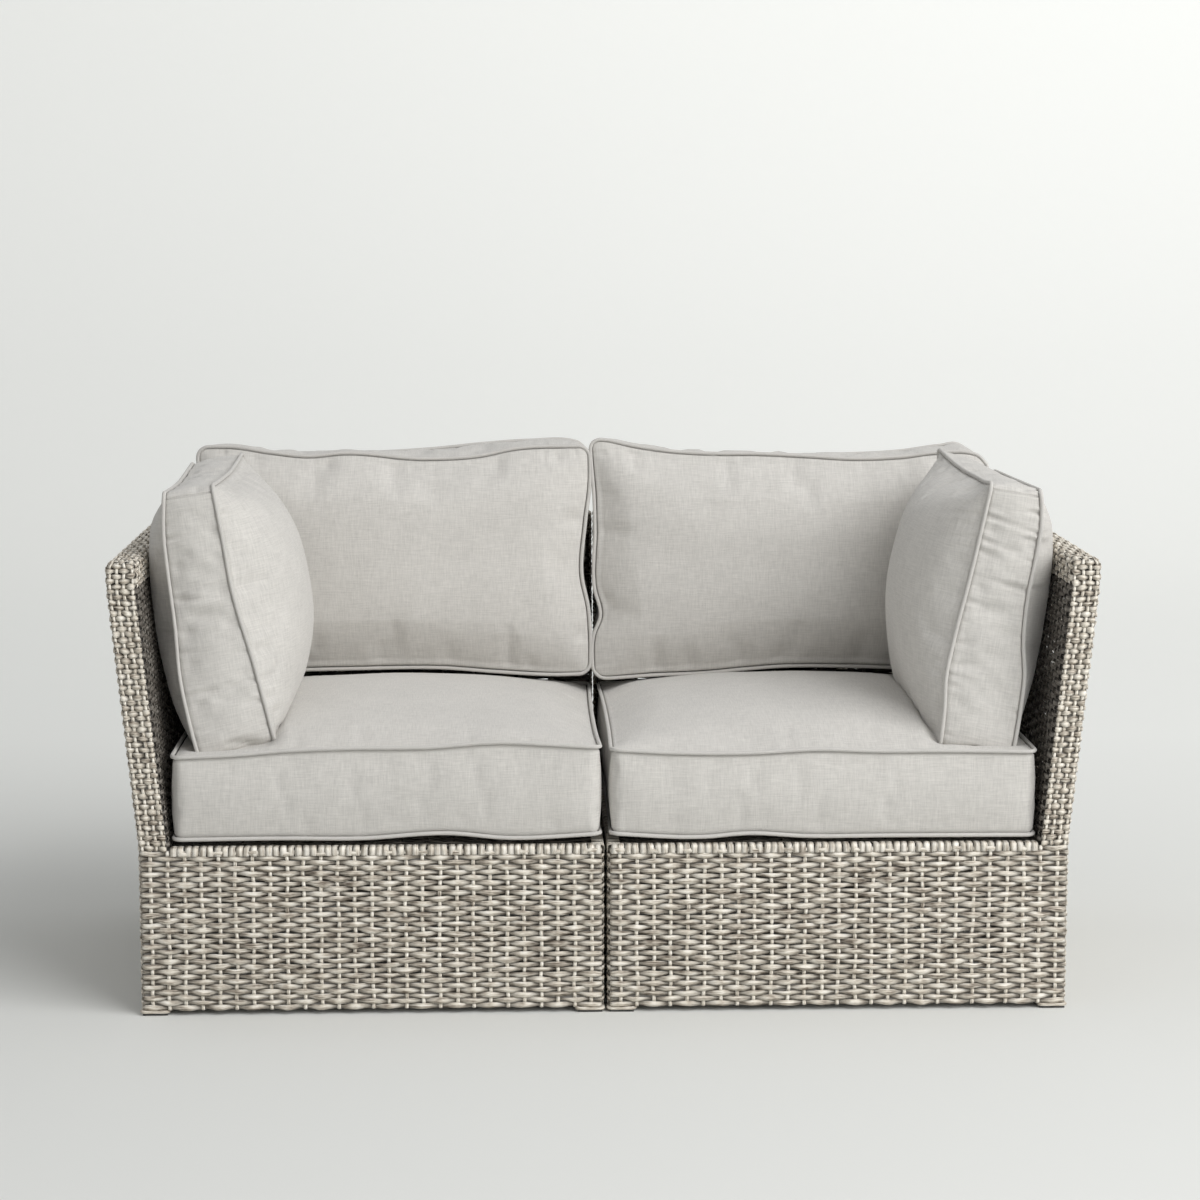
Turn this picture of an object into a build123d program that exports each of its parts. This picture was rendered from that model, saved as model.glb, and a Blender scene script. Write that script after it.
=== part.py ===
"""Patio loveseat: two woven corner modules side by side, with piped box cushions.

Millimetres and degrees. +X is the sitter's left-to-right as seen from the front, the front
faces -Y, +Z is up. The origin is on the floor, midway across and midway front to back.
The left module is drawn and the right one is its mirror image.
"""

import os
from dataclasses import dataclass, replace
from math import cos, radians, sin, tan

from build123d import *

os.makedirs("parts", exist_ok=True)

# Modules
module_width = 722.5       # one base, left to right
module_depth = 722.5       # one base, front to back
module_gap = 5.0           # between the two bases
base_height = 266.0        # floor to the top of the woven base
arm_height = 713.0         # floor to the crest of the arms and back
wall_thick = 49.0          # arm and back walls, weave to weave
wall_lean = 5.8            # outward lean of the arms and back above the base

# Weave
weave_thick = 6.0          # one woven skin
skirt_height = 8.5         # floor to the lower edge of the skirt
rim_radius = 14.0          # rounded edges of the arm and back crests
leg_lip = 1.5              # leg wrapping beyond the inner faces of the leg

# Frame
tube_wall = 1.5            # wall of every square tube
lower_rail_height = 14.0   # floor to the underside of the lower rails
slat_size = 25.0           # square tubes under the deck
slat_count = 4

# Push-in glides under the legs
glide_thick = 2.5          # flange between leg and floor
glide_inset = 3.0          # flange inside the edge of the leg wrapping
glide_plug = 18.0          # plug up into the leg
glide_fit = 0.2            # clearance of the plug in the leg, each side

# Cushion making, shared by all six
cover_thick = 2.4          # quilted cover
fill_clear = 0.6           # cover to fill
piping_radius = 3.0
piping_clear = 0.3         # seam to piping
cushion_clear = 0.4        # a cushion to what it rests on
wall_clear = 1.2           # piping to the wall or the module's edge beside it
corner_radius = 26.0
boxing_swell = 5.5         # outward swell of the boxing between its two seams
crown_inset_shares = (0.0, 0.07, 0.2, 0.42)   # of half the cushion, at each crown section
crown_rise_shares = (0.0, 0.42, 0.82, 1.0)    # of the crown, at the same sections
settle_steps = 40          # most steps to bring a cushion down to its seat
settle_share = 0.25        # nearness of that seat, of the clearance

# Seat cushions
seat_boxing = 134.0        # seam to seam, vertical
seat_crown = 36.0          # rise of the top panel
seat_under = 10.4          # fall of the bottom panel onto the deck
seat_front = 14.0          # front of the base to the front seams
seat_draw = 3.0            # sides drawn in between the corners

# Back cushions
back_height = 386.0        # seam corner to seam corner
back_boxing = 105.0        # seam to seam, front to back
back_crown = 46.0          # front panel
back_rear_crown = 12.0     # rear panel, which rests on the wall
back_draw = 12.0           # top and sides drawn in between the corners

# Side cushions
side_height = 398.0
side_boxing = 100.0        # seam to seam at mid height
side_crown = 58.0          # panel towards the sitter
side_rear_crown = 30.0     # panel that rests on the arm
side_draw = 9.0
side_taper = 7.0           # the boxing narrows upwards by this angle
side_front = 85.0          # front of the base to the front seams

# Zips
zip_tape_width = 22.0
zip_slider_length = 14.0
zip_slider_width = 10.0
zip_slider_thick = 2.6
zip_tab_length = 24.0
zip_tab_width = 7.0
zip_tab_thick = 1.4
zip_tab_hole = 1.8         # radius of the hole in the pull tab
zip_clear = 0.3            # slider over the tape, tab over the slider's far end
seat_zip_share = 0.82      # tape length as a share of the cushion's side
back_zip_share = 0.72
side_zip_share = 0.7
back_zip_offset_share = -0.27   # towards the rear panel, of the boxing

# Places that follow from the sizes above
tube_size = wall_thick - 2 * weave_thick
rim_base = arm_height - weave_thick - tube_size
lean_slope = tan(radians(wall_lean))
deck_under = base_height - weave_thick
inner_x = -module_gap / 2
outer_x = inner_x - module_width
full_depth = module_depth + (rim_base - base_height) * lean_slope
front_y = -full_depth / 2
back_y = front_y + module_depth
piping_stack = piping_clear + 2 * piping_radius
zip_stack = zip_clear + zip_slider_thick + zip_tab_thick


# Walls: every upright piece is a straight-sided solid between two heights

def lean_at(z):
    """How far the arms and back have leaned outwards at a height."""
    return max(0.0, min(z, rim_base) - base_height) * lean_slope


def arm_face(z):
    """X of the arm's outer face at a height."""
    return outer_x - lean_at(z)


def back_face(z):
    """Y of the back's outer face at a height."""
    return back_y + lean_at(z)


def prism(low, high, outline):
    """A solid between two heights, with outline(z) giving its corners in plan."""
    faces = [Pos(0, 0, z) * Polygon(*outline(z), align=None) for z in (low, high)]
    return loft(faces, ruled=True)


def block(x_low, x_high, y_low, y_high, z_low, z_high):
    """A box given by its faces."""
    size = (x_high - x_low, y_high - y_low, z_high - z_low)
    centre = ((x_low + x_high) / 2, (y_low + y_high) / 2, (z_low + z_high) / 2)
    return Pos(*centre) * Box(*size)


def arm_strip(near, far, front):
    """Plan corners of a layer of the arm wall, mitred to the back wall at its rear.

    near and far are depths in from the outer face, front is the layer's front end.
    """
    def outline(z):
        x, y = arm_face(z), back_face(z)
        return [(x + near, front), (x + near, y - near), (x + far, y - far), (x + far, front)]
    return outline


def back_strip(near, far, end):
    """Plan corners of a layer of the back wall, mitred to the arm wall at its outer end."""
    def outline(z):
        x, y = arm_face(z), back_face(z)
        return [(x + near, y - near), (end, y - near), (end, y - far), (x + far, y - far)]
    return outline


def post_square(x_place, y_place, inset):
    """Plan corners of a square post, whose low corner is (x_place(z), y_place(z))."""
    def outline(z):
        x_low, y_low = x_place(z) + inset, y_place(z) + inset
        x_high, y_high = x_place(z) + tube_size - inset, y_place(z) + tube_size - inset
        return [(x_low, y_low), (x_high, y_low), (x_high, y_high), (x_low, y_high)]
    return outline


def post(low, high, x_place, y_place):
    """A square tube that stands between two heights and leans with its wall."""
    outside = prism(low, high, post_square(x_place, y_place, 0))
    return outside - prism(low, high, post_square(x_place, y_place, tube_wall))


def rail_x(x_low, x_high, y_low, z_low, size):
    """A square tube along X."""
    outside = block(x_low, x_high, y_low, y_low + size, z_low, z_low + size)
    return outside - block(x_low, x_high, y_low + tube_wall, y_low + size - tube_wall,
                           z_low + tube_wall, z_low + size - tube_wall)


def rail_y(x_low, y_low, y_high, z_low, size):
    """A square tube along Y."""
    outside = block(x_low, x_low + size, y_low, y_high, z_low, z_low + size)
    return outside - block(x_low + tube_wall, x_low + size - tube_wall, y_low, y_high,
                           z_low + tube_wall, z_low + size - tube_wall)


def mitred_rail(strip, end):
    """A top rail of the arm or back, hollow, with its mitred end at the rear corner."""
    near, far = weave_thick, weave_thick + tube_size
    outside = prism(rim_base, rim_base + tube_size, strip(near, far, end))
    hollow = prism(rim_base + tube_wall, rim_base + tube_size - tube_wall,
                   strip(near + tube_wall, far - tube_wall, end))
    return outside - hollow


# Frame

leg_x = (outer_x + weave_thick, inner_x - weave_thick - tube_size)
leg_y = (front_y + weave_thick, back_y - weave_thick - tube_size)


def base_frame():
    """Four legs, a lower ring and an upper ring of rails, welded face to face."""
    tubes = []
    for x in leg_x:
        for y in leg_y:
            under_deck = x == leg_x[1] and y == leg_y[0]
            top = deck_under if under_deck else base_height
            tubes.append(post(glide_thick, top, lambda z, x=x: x, lambda z, y=y: y))
    for z in (lower_rail_height, deck_under - tube_size):
        tubes += [rail_x(leg_x[0] + tube_size, leg_x[1], y, z, tube_size) for y in leg_y]
        tubes += [rail_y(x, leg_y[0] + tube_size, leg_y[1], z, tube_size) for x in leg_x]
    return tubes


def seat_slats():
    """Cross tubes that carry the deck between the side rails."""
    free = leg_y[1] - leg_y[0] - tube_size - slat_count * slat_size
    pitch = free / (slat_count + 1) + slat_size
    first = leg_y[0] + tube_size + free / (slat_count + 1)
    return [rail_x(leg_x[0] + tube_size, leg_x[1], first + i * pitch,
                   deck_under - slat_size, slat_size) for i in range(slat_count)]


def arm_x(z):
    """Low X of the tubes inside the arm wall."""
    return arm_face(z) + weave_thick


def back_tube_y(z):
    """Low Y of the tubes inside the back wall."""
    return back_face(z) - weave_thick - tube_size


def arm_frame():
    """Front post, middle stile and top rail of the arm."""
    front = leg_y[0]
    middle = (leg_y[0] + leg_y[1]) / 2
    posts = [post(base_height, rim_base, arm_x, lambda z, y=y: y) for y in (front, middle)]
    return posts + [mitred_rail(arm_strip, front)]


def back_frame():
    """Corner post, middle stile, end post and top rail of the back."""
    middle = (leg_x[0] + leg_x[1]) / 2
    posts = [post(base_height, rim_base, x_place, back_tube_y)
             for x_place in (arm_x, lambda z: middle, lambda z: leg_x[1])]
    return posts + [mitred_rail(back_strip, inner_x - weave_thick)]


def leg_corners():
    """Each leg's low corner, and the side of the leg that faces out, as signs."""
    return [(x, y, sx, sy) for x, sx in zip(leg_x, (-1, 1)) for y, sy in zip(leg_y, (-1, 1))]


def wrap_bounds(x, y, sx, sy):
    """X and Y faces of a leg's wrapping: a full skin outwards and a lip inwards."""
    low_x = x - (weave_thick if sx < 0 else leg_lip)
    high_x = x + tube_size + (weave_thick if sx > 0 else leg_lip)
    low_y = y - (weave_thick if sy < 0 else leg_lip)
    high_y = y + tube_size + (weave_thick if sy > 0 else leg_lip)
    return low_x, high_x, low_y, high_y


def leg_wraps():
    """Woven sleeves round the legs, from the glides up to the skirt."""
    sleeves = []
    for x, y, sx, sy in leg_corners():
        sleeve = block(*wrap_bounds(x, y, sx, sy), glide_thick, skirt_height)
        leg = block(x, x + tube_size, y, y + tube_size, glide_thick, skirt_height)
        sleeves.append(sleeve - leg)
    return sleeves


def glides():
    """Push-in plastic caps: a flange on the floor and a plug up inside the leg."""
    caps = []
    for x, y, sx, sy in leg_corners():
        x_low, x_high, y_low, y_high = wrap_bounds(x, y, sx, sy)
        flange = block(x_low + glide_inset, x_high - glide_inset,
                       y_low + glide_inset, y_high - glide_inset, 0, glide_thick)
        inset = tube_wall + glide_fit
        plug = block(x + inset, x + tube_size - inset, y + inset, y + tube_size - inset,
                     glide_thick, glide_thick + glide_plug)
        caps.append(flange + plug)
    return caps


# Weave

skin_front = front_y + weave_thick
skin_end = inner_x - weave_thick


def front_weave():
    """Skirt across the front."""
    return [block(outer_x, inner_x, front_y, skin_front, skirt_height, base_height)]


def outer_side_weave():
    """Outer side: upright skirt, then the outer skin of the leaning arm."""
    strip = arm_strip(0, weave_thick, skin_front)
    return [prism(skirt_height, base_height, strip), prism(base_height, rim_base, strip)]


def rear_weave():
    """Rear: upright skirt across the base, then the outer skin of the leaning back."""
    skirt = prism(skirt_height, base_height, back_strip(0, weave_thick, inner_x))
    return [skirt, prism(base_height, rim_base, back_strip(0, weave_thick, skin_end))]


def inner_side_weave():
    """Side of the base that faces the other module."""
    return [block(skin_end, inner_x, skin_front, back_y - weave_thick,
                  skirt_height, base_height)]


def arm_inner_weave():
    """Skin of the arm towards the sitter."""
    strip = arm_strip(wall_thick - weave_thick, wall_thick, skin_front)
    return [prism(base_height, rim_base, strip)]


def back_inner_weave():
    """Skin of the back towards the sitter."""
    strip = back_strip(wall_thick - weave_thick, wall_thick, skin_end)
    return [prism(base_height, rim_base, strip)]


def deck_weave():
    """Woven deck under the seat cushion, laid on the upper rails and slats."""
    inset = wall_thick - weave_thick
    return [block(outer_x + inset, skin_end, skin_front, back_y - inset,
                  deck_under, base_height)]


def rim_profile():
    """Cross-section of the crest: a rounded top over a straight-sided foot."""
    outline = Rectangle(wall_thick, arm_height - rim_base, align=(Align.MIN, Align.MIN))
    top = outline.vertices().sort_by(Axis.Y)[-2:]
    return fillet(top, rim_radius)


def rim_bar(plane, length):
    """A length of the crest, drawn along a plane's normal."""
    return extrude(plane * rim_profile(), length)


def arm_rim_plane(y):
    """Plane of the arm crest's section at a place along the arm, normal to the rear."""
    return Plane(origin=(arm_face(rim_base) + wall_thick, y, rim_base),
                 x_dir=(-1, 0, 0), z_dir=(0, 1, 0))


def back_rim_plane(x):
    """Plane of the back crest's section at a place along the back, normal outwards."""
    return Plane(origin=(x, back_face(rim_base) - wall_thick, rim_base),
                 x_dir=(0, 1, 0), z_dir=(1, 0, 0))


def corner_prism(strip, end):
    """The whole thickness of a wall at its crest, with its mitred rear end."""
    return prism(rim_base, arm_height, strip(0, wall_thick, end))


def rim_weave():
    """Woven crests of the arm and back, folded over the top rails."""
    arm_length = back_face(rim_base) - skin_front
    arm_bar = rim_bar(arm_rim_plane(skin_front), arm_length)
    arm_bar = arm_bar & corner_prism(arm_strip, skin_front)
    back_length = skin_end - arm_face(rim_base)
    back_bar = rim_bar(back_rim_plane(arm_face(rim_base)), back_length)
    back_bar = back_bar & corner_prism(back_strip, skin_end)
    near, far = weave_thick, weave_thick + tube_size
    arm_channel = prism(rim_base, rim_base + tube_size, arm_strip(near, far, skin_front))
    back_channel = prism(rim_base, rim_base + tube_size, back_strip(near, far, skin_end))
    return [arm_bar - arm_channel, back_bar - back_channel]


def end_weave():
    """Woven ends: the front of the arm, and the back's end at the other module."""
    def arm_quad(z):
        x = arm_face(z)
        return [(x, front_y), (x + wall_thick, front_y), (x + wall_thick, skin_front),
                (x, skin_front)]

    def back_quad(z):
        y = back_face(z)
        return [(skin_end, y), (inner_x, y), (inner_x, y - wall_thick),
                (skin_end, y - wall_thick)]

    arm_end = prism(base_height, rim_base, arm_quad)
    arm_end += rim_bar(arm_rim_plane(front_y), weave_thick)
    back_end = prism(base_height, rim_base, back_quad)
    back_end += rim_bar(back_rim_plane(skin_end), weave_thick)
    return [arm_end, back_end]


# Cushions

@dataclass
class Cushion:
    """A box cushion in its own axes: X along, Y up the panels, Z from rear to front panel.

    Sides go bottom, right, top, left. A side is drawn in by draws and swells by swells.
    """

    width: float
    height: float
    boxing: float
    low_crown: float
    high_crown: float
    draws: tuple
    swells: tuple
    corner: float
    taper: float = 0.0

    def smaller(self, wall):
        """The same cushion inside a wall of this thickness."""
        return replace(self, width=self.width - 2 * wall, height=self.height - 2 * wall,
                       boxing=self.boxing - wall, low_crown=self.low_crown - wall / 2,
                       high_crown=self.high_crown - wall / 2, corner=self.corner - wall)

    def outline(self, inset_share=0.0, swell=0.0):
        """The closed outline in plan: four bowed sides and rounded corners."""
        bottom, right, top, left = (s * swell for s in self.swells)
        half_x = self.width / 2 * (1 - inset_share)
        half_y = self.height / 2 * (1 - inset_share)
        x_low, x_high = -half_x - left, half_x + right
        y_low, y_high = -half_y - bottom, half_y + top
        corners = [(x_low, y_low), (x_high, y_low), (x_high, y_high), (x_low, y_high)]
        inward = [(0, 1), (-1, 0), (0, -1), (1, 0)]
        edges = []
        for i, (start, draw, (dx, dy)) in enumerate(zip(corners, self.draws, inward)):
            end = corners[(i + 1) % len(corners)]
            bow = draw * (1 - inset_share)
            middle = ((start[0] + end[0]) / 2 + dx * bow, (start[1] + end[1]) / 2 + dy * bow)
            edges.append(ThreePointArc(start, middle, end) if bow else Line(start, end))
        face = make_face(edges)
        return fillet(face.vertices(), self.corner)

    def plane(self, end, rise=0.0):
        """Plane of the rear seam (-1), the middle (0) or the front seam (1), raised outwards."""
        tilt = -end * self.taper / 2
        seam = Plane(origin=(0, 0, end * self.boxing / 2)).rotated((tilt, 0, 0))
        return seam.offset(end * rise)

    def section(self, end, rise=0.0, inset_share=0.0, swell=0.0):
        """One face of a loft."""
        return self.plane(end, rise) * self.outline(inset_share, swell)

    def crown(self, end, height):
        """The crowned half beyond one seam."""
        shares = zip(crown_rise_shares, crown_inset_shares)
        return loft([self.section(end, rise * height, inset) for rise, inset in shares])

    def solid(self):
        """Boxing and both crowns as one solid."""
        band = loft([self.section(-1), self.section(0, swell=1), self.section(1)])
        return band + self.crown(-1, self.low_crown) + self.crown(1, self.high_crown)

    def piping(self):
        """A round welt just outside each seam."""
        loops = []
        for end in (-1, 1):
            beside_seam = offset(self.outline(), amount=piping_clear + piping_radius)
            path = (self.plane(end) * beside_seam).face().outer_wire()
            start = Plane(origin=path @ 0, z_dir=path % 0)
            loops.append(sweep(start * Circle(piping_radius), path=path))
        return loops


@dataclass
class Zip:
    """A zip let into a flat side. The plane's X runs along it and its Z points outwards."""

    plane: Plane
    length: float

    def tape(self):
        """The tape, as thick as the cover that it closes."""
        return self.plane * Pos(0, 0, -cover_thick / 2) * Box(
            self.length, zip_tape_width, cover_thick)

    def room(self):
        """The space that the slider and its tab sweep."""
        return self.plane * Pos(0, 0, zip_stack / 2) * Box(
            self.length, zip_slider_width, zip_stack)

    def slider(self):
        """Slider body and pull tab at the closed end, the tab lying along the tape."""
        start = -self.length / 2
        body = Pos(start + zip_slider_length / 2, 0, zip_clear + zip_slider_thick / 2) * Box(
            zip_slider_length, zip_slider_width, zip_slider_thick)
        tab_level = zip_clear + zip_slider_thick + zip_tab_thick / 2
        tab = Pos(start + zip_tab_length / 2, 0, tab_level) * Box(
            zip_tab_length, zip_tab_width, zip_tab_thick)
        hole_x = start + zip_tab_length - zip_tab_width / 2
        tab -= Pos(hole_x, 0, tab_level) * Cylinder(zip_tab_hole, 2 * zip_tab_thick)
        return self.plane * (body + tab)

    def travel(self):
        """How far the slider runs before its tab reaches the tape's far end."""
        return self.length - zip_tab_length


def settle(moving, onto, up):
    """How far shapes come down, against a direction, until they rest on what is under them."""
    travel = 0.0
    for _ in range(settle_steps):
        placed = [Pos(*(up * -travel)) * shape for shape in moving]
        gap = min(shape.distance_to(other) for shape in placed for other in onto)
        if gap < (1 + settle_share) * cushion_clear:
            break
        travel += gap - cushion_clear
    return travel


def well_fit(z):
    """Centre and seam width of a cushion that fills the module's well at a height."""
    low = arm_face(z) + wall_thick + side_room
    high = inner_x - side_room
    return (low + high) / 2, high - low


side_room = max(piping_stack, zip_stack) + wall_clear

# Seat cushion: flat at its rear, where its zip is
seat_low_seam = base_height + cushion_clear + seat_under
seat_x, seat_width = well_fit(seat_low_seam)
seat_y_low = front_y + seat_front
seat_y_high = back_y - wall_thick - side_room
seat_depth = seat_y_high - seat_y_low
seat = Cushion(seat_width, seat_depth, seat_boxing, seat_under, seat_crown,
               (seat_draw, seat_draw, 0, seat_draw),
               (boxing_swell, boxing_swell, 0, boxing_swell), corner_radius)
seat_place = Plane(origin=(seat_x, (seat_y_low + seat_y_high) / 2,
                           seat_low_seam + seat_boxing / 2))
seat_zip = Zip(Plane(origin=(0, seat_depth / 2, 0), x_dir=(-1, 0, 0), z_dir=(0, 1, 0)),
               seat_zip_share * seat_width)

# Back cushion: leans on the back wall, flat underneath, where its zip is
lean_cos, lean_sin = cos(radians(wall_lean)), sin(radians(wall_lean))
lean_room = cushion_clear + (arm_height - rim_radius - rim_base) * lean_sin
seat_top = seat_low_seam + seat_boxing + seat_crown
back_x, back_width = well_fit(seat_low_seam + seat_boxing)
back = Cushion(back_width, back_height, back_boxing, back_rear_crown, back_crown,
               (0, back_draw, back_draw, back_draw),
               (0, boxing_swell, boxing_swell, boxing_swell), corner_radius)
back_zip = Zip(Plane(origin=(0, -back_height / 2, back_zip_offset_share * back_boxing),
                     x_dir=(1, 0, 0), z_dir=(0, -1, 0)), back_zip_share * back_width)
back_up = Vector(0, lean_sin, lean_cos)
back_inward = Vector(0, -lean_cos, lean_sin)
back_foot = Vector(back_x, back_y - wall_thick, base_height)
back_place = Plane(
    origin=(back_foot + back_up * (seat_top - base_height + back_height / 2)
            + back_inward * (lean_room + back_rear_crown + back_boxing / 2)),
    x_dir=(1, 0, 0), z_dir=back_inward)


class Placed:
    """A cushion's pieces at rest: cover, fill, piping, zip tape and zip slider."""

    def __init__(self, cushion, zipper, place):
        self.cushion, self.zipper, self.place = cushion, zipper, place
        self.outside = place * cushion.solid()
        self.welts = [place * loop for loop in cushion.piping()]

    def settled(self, onto, up):
        """The same cushion brought down onto what is under it."""
        top = max(shape.bounding_box().max.Z for shape in onto)
        moving = [self.outside, *self.welts, self.place * self.zipper.room()]
        lowest = min(shape.bounding_box().min.Z for shape in moving)
        lift = max(0.0, top + cushion_clear - lowest) / up.Z
        raised = [Pos(*(up * lift)) * shape for shape in moving]
        shift = up * (lift - settle(raised, onto, up))
        place = Plane(origin=self.place.origin + shift, x_dir=self.place.x_dir,
                      z_dir=self.place.z_dir)
        return Placed(self.cushion, self.zipper, place)

    def pieces(self):
        """Solids of every piece, by name."""
        cavity = self.place * self.cushion.smaller(cover_thick).solid()
        tape = self.place * self.zipper.tape()
        return {
            "cover": [self.outside - cavity - tape],
            "fill": [self.place * self.cushion.smaller(cover_thick + fill_clear).solid()],
            "piping": self.welts,
            "zip": [tape],
            "zip_slider": [self.place * self.zipper.slider()],
        }


seat_cushion = Placed(seat, seat_zip, seat_place)
under_seat = [seat_cushion.outside, *seat_cushion.welts]
back_cushion = Placed(back, back_zip, back_place).settled(under_seat, back_up)

# Side cushion: leans on the arm and stops short of the back cushion, flat at its rear
side_y_low = front_y + side_front
side_y_high = back_cushion.outside.bounding_box().min.Y - side_room
side_length = side_y_high - side_y_low
side = Cushion(side_length, side_height, side_boxing, side_rear_crown, side_crown,
               (0, 0, side_draw, side_draw), (0, 0, boxing_swell, boxing_swell),
               corner_radius, side_taper)
side_zip = Zip(Plane(origin=(side_length / 2, 0, 0), x_dir=(0, 1, 0), z_dir=(1, 0, 0)),
               side_zip_share * side_height)
side_up = Vector(-lean_sin, 0, lean_cos)
arm_inward = Vector(lean_cos, 0, lean_sin)
side_tilt = radians(wall_lean + side_taper / 2)
side_inward = Vector(cos(side_tilt), 0, sin(side_tilt))
side_foot = Vector(outer_x + wall_thick, (side_y_low + side_y_high) / 2, base_height)
side_place = Plane(
    origin=(side_foot + side_up * (seat_top - base_height + side_height / 2)
            + arm_inward * (lean_room + side_rear_crown) + side_inward * (side_boxing / 2)),
    x_dir=(0, 1, 0), z_dir=side_inward)
side_cushion = Placed(side, side_zip, side_place).settled(under_seat, side_up)


def module_pieces():
    """Every node of the left module, by name."""
    pieces = {
        "base_frame": base_frame(),
        "seat_slats": seat_slats(),
        "arm_frame": arm_frame(),
        "back_frame": back_frame(),
        "glides": glides(),
        "leg_wraps": leg_wraps(),
        "front_weave": front_weave(),
        "outer_side_weave": outer_side_weave(),
        "rear_weave": rear_weave(),
        "inner_side_weave": inner_side_weave(),
        "arm_inner_weave": arm_inner_weave(),
        "back_inner_weave": back_inner_weave(),
        "end_weave": end_weave(),
        "rim_weave": rim_weave(),
        "deck_weave": deck_weave(),
    }
    cushions = {"seat": seat_cushion, "back": back_cushion, "side": side_cushion}
    for name, cushion in cushions.items():
        for piece, shapes in cushion.pieces().items():
            pieces[f"{name}_{piece}"] = shapes
    return pieces


def export_module(side_name, pieces, mirrored):
    """Write one STEP file for each node of a module."""
    for name, shapes in pieces.items():
        solids = [solid for shape in shapes for solid in shape.solids()]
        if mirrored:
            solids = [mirror(solid, about=Plane.YZ) for solid in solids]
        export_step(Compound(children=solids), f"parts/{side_name}_{name}.step")


left_pieces = module_pieces()
export_module("left", left_pieces, mirrored=False)
export_module("right", left_pieces, mirrored=True)
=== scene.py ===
"""Dresses a two-seat patio loveseat: two woven corner modules and six piped box cushions.

Metres, +X to the right as seen from the front, the front faces -Y, the floor is at Z = 0.
The left module is worked out and the right one is its mirror image, but the cushions of the
two sides are plumped and creased each in their own way.
"""

import logging
import math
from collections.abc import Callable, Sequence
from dataclasses import dataclass
from enum import Enum
from typing import Any

import bmesh
import bpy
import numpy as np
from mathutils import Euler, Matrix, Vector


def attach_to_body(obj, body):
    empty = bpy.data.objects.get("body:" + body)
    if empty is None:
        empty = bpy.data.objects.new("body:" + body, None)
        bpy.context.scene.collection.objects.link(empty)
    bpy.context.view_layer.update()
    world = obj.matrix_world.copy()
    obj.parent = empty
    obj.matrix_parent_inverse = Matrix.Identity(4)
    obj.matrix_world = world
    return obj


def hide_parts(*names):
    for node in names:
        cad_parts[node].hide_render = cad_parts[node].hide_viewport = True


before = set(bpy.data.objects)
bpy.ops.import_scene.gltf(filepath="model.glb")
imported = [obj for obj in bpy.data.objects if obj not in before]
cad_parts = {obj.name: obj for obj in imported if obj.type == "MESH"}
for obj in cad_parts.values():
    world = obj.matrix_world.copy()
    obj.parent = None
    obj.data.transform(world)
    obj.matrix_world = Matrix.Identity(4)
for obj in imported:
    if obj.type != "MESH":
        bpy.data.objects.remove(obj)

log = logging.getLogger("loveseat")
Array, Mesh, Object = np.ndarray, bpy.types.Mesh, bpy.types.Object
Tree, Node, Socket = bpy.types.NodeTree, bpy.types.Node, bpy.types.NodeSocket
Colour = tuple[float, float, float]
Stops = Sequence[float]
Placing = Callable[[Array, Array, Array], Array]
MM = 0.001
QUARTER = math.pi / 2
FLOAT, VECTOR, INTEGER = "NodeSocketFloat", "NodeSocketVector", "NodeSocketInt"
GEOMETRY, MATERIAL = "NodeSocketGeometry", "NodeSocketMaterial"


class Side(Enum):
    """Which of the two modules a piece belongs to."""

    LEFT = "left"
    RIGHT = "right"

    @property
    def sign(self) -> int:
        """1 for the side that is worked out and -1 for the one that is turned over."""
        return 1 if self is Side.LEFT else -1


class Edge(Enum):
    """The four sides of a cushion panel, by their place in a list of sides."""

    BOTTOM = 0
    RIGHT = 1
    TOP = 2
    LEFT = 3

    @property
    def sign(self) -> int:
        """1 for a side at the high end of its axis and -1 for one at the low end."""
        return 1 if self in (Edge.RIGHT, Edge.TOP) else -1

    @property
    def upright(self) -> bool:
        """Whether the side runs up the panel."""
        return self in (Edge.LEFT, Edge.RIGHT)


# Node trees


class Value:
    """A socket to reckon with: each sign or method adds a Math node to its tree."""

    def __init__(self, graph: "Graph", socket: Socket) -> None:
        """Takes hold of a socket."""
        self.graph, self.socket = graph, socket

    def __add__(self, other: Any) -> "Value":
        """The sum."""
        return self.graph.math("ADD", self, other)

    def __radd__(self, other: Any) -> "Value":
        """The sum, with a number in front."""
        return self.graph.math("ADD", other, self)

    def __sub__(self, other: Any) -> "Value":
        """The difference."""
        return self.graph.math("SUBTRACT", self, other)

    def __mul__(self, other: Any) -> "Value":
        """The product."""
        return self.graph.math("MULTIPLY", self, other)

    def __truediv__(self, other: Any) -> "Value":
        """The quotient."""
        return self.graph.math("DIVIDE", self, other)

    def least(self, other: Any) -> "Value":
        """The smaller of the two."""
        return self.graph.math("MINIMUM", self, other)

    def most(self, other: Any) -> "Value":
        """The larger of the two."""
        return self.graph.math("MAXIMUM", self, other)


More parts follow.
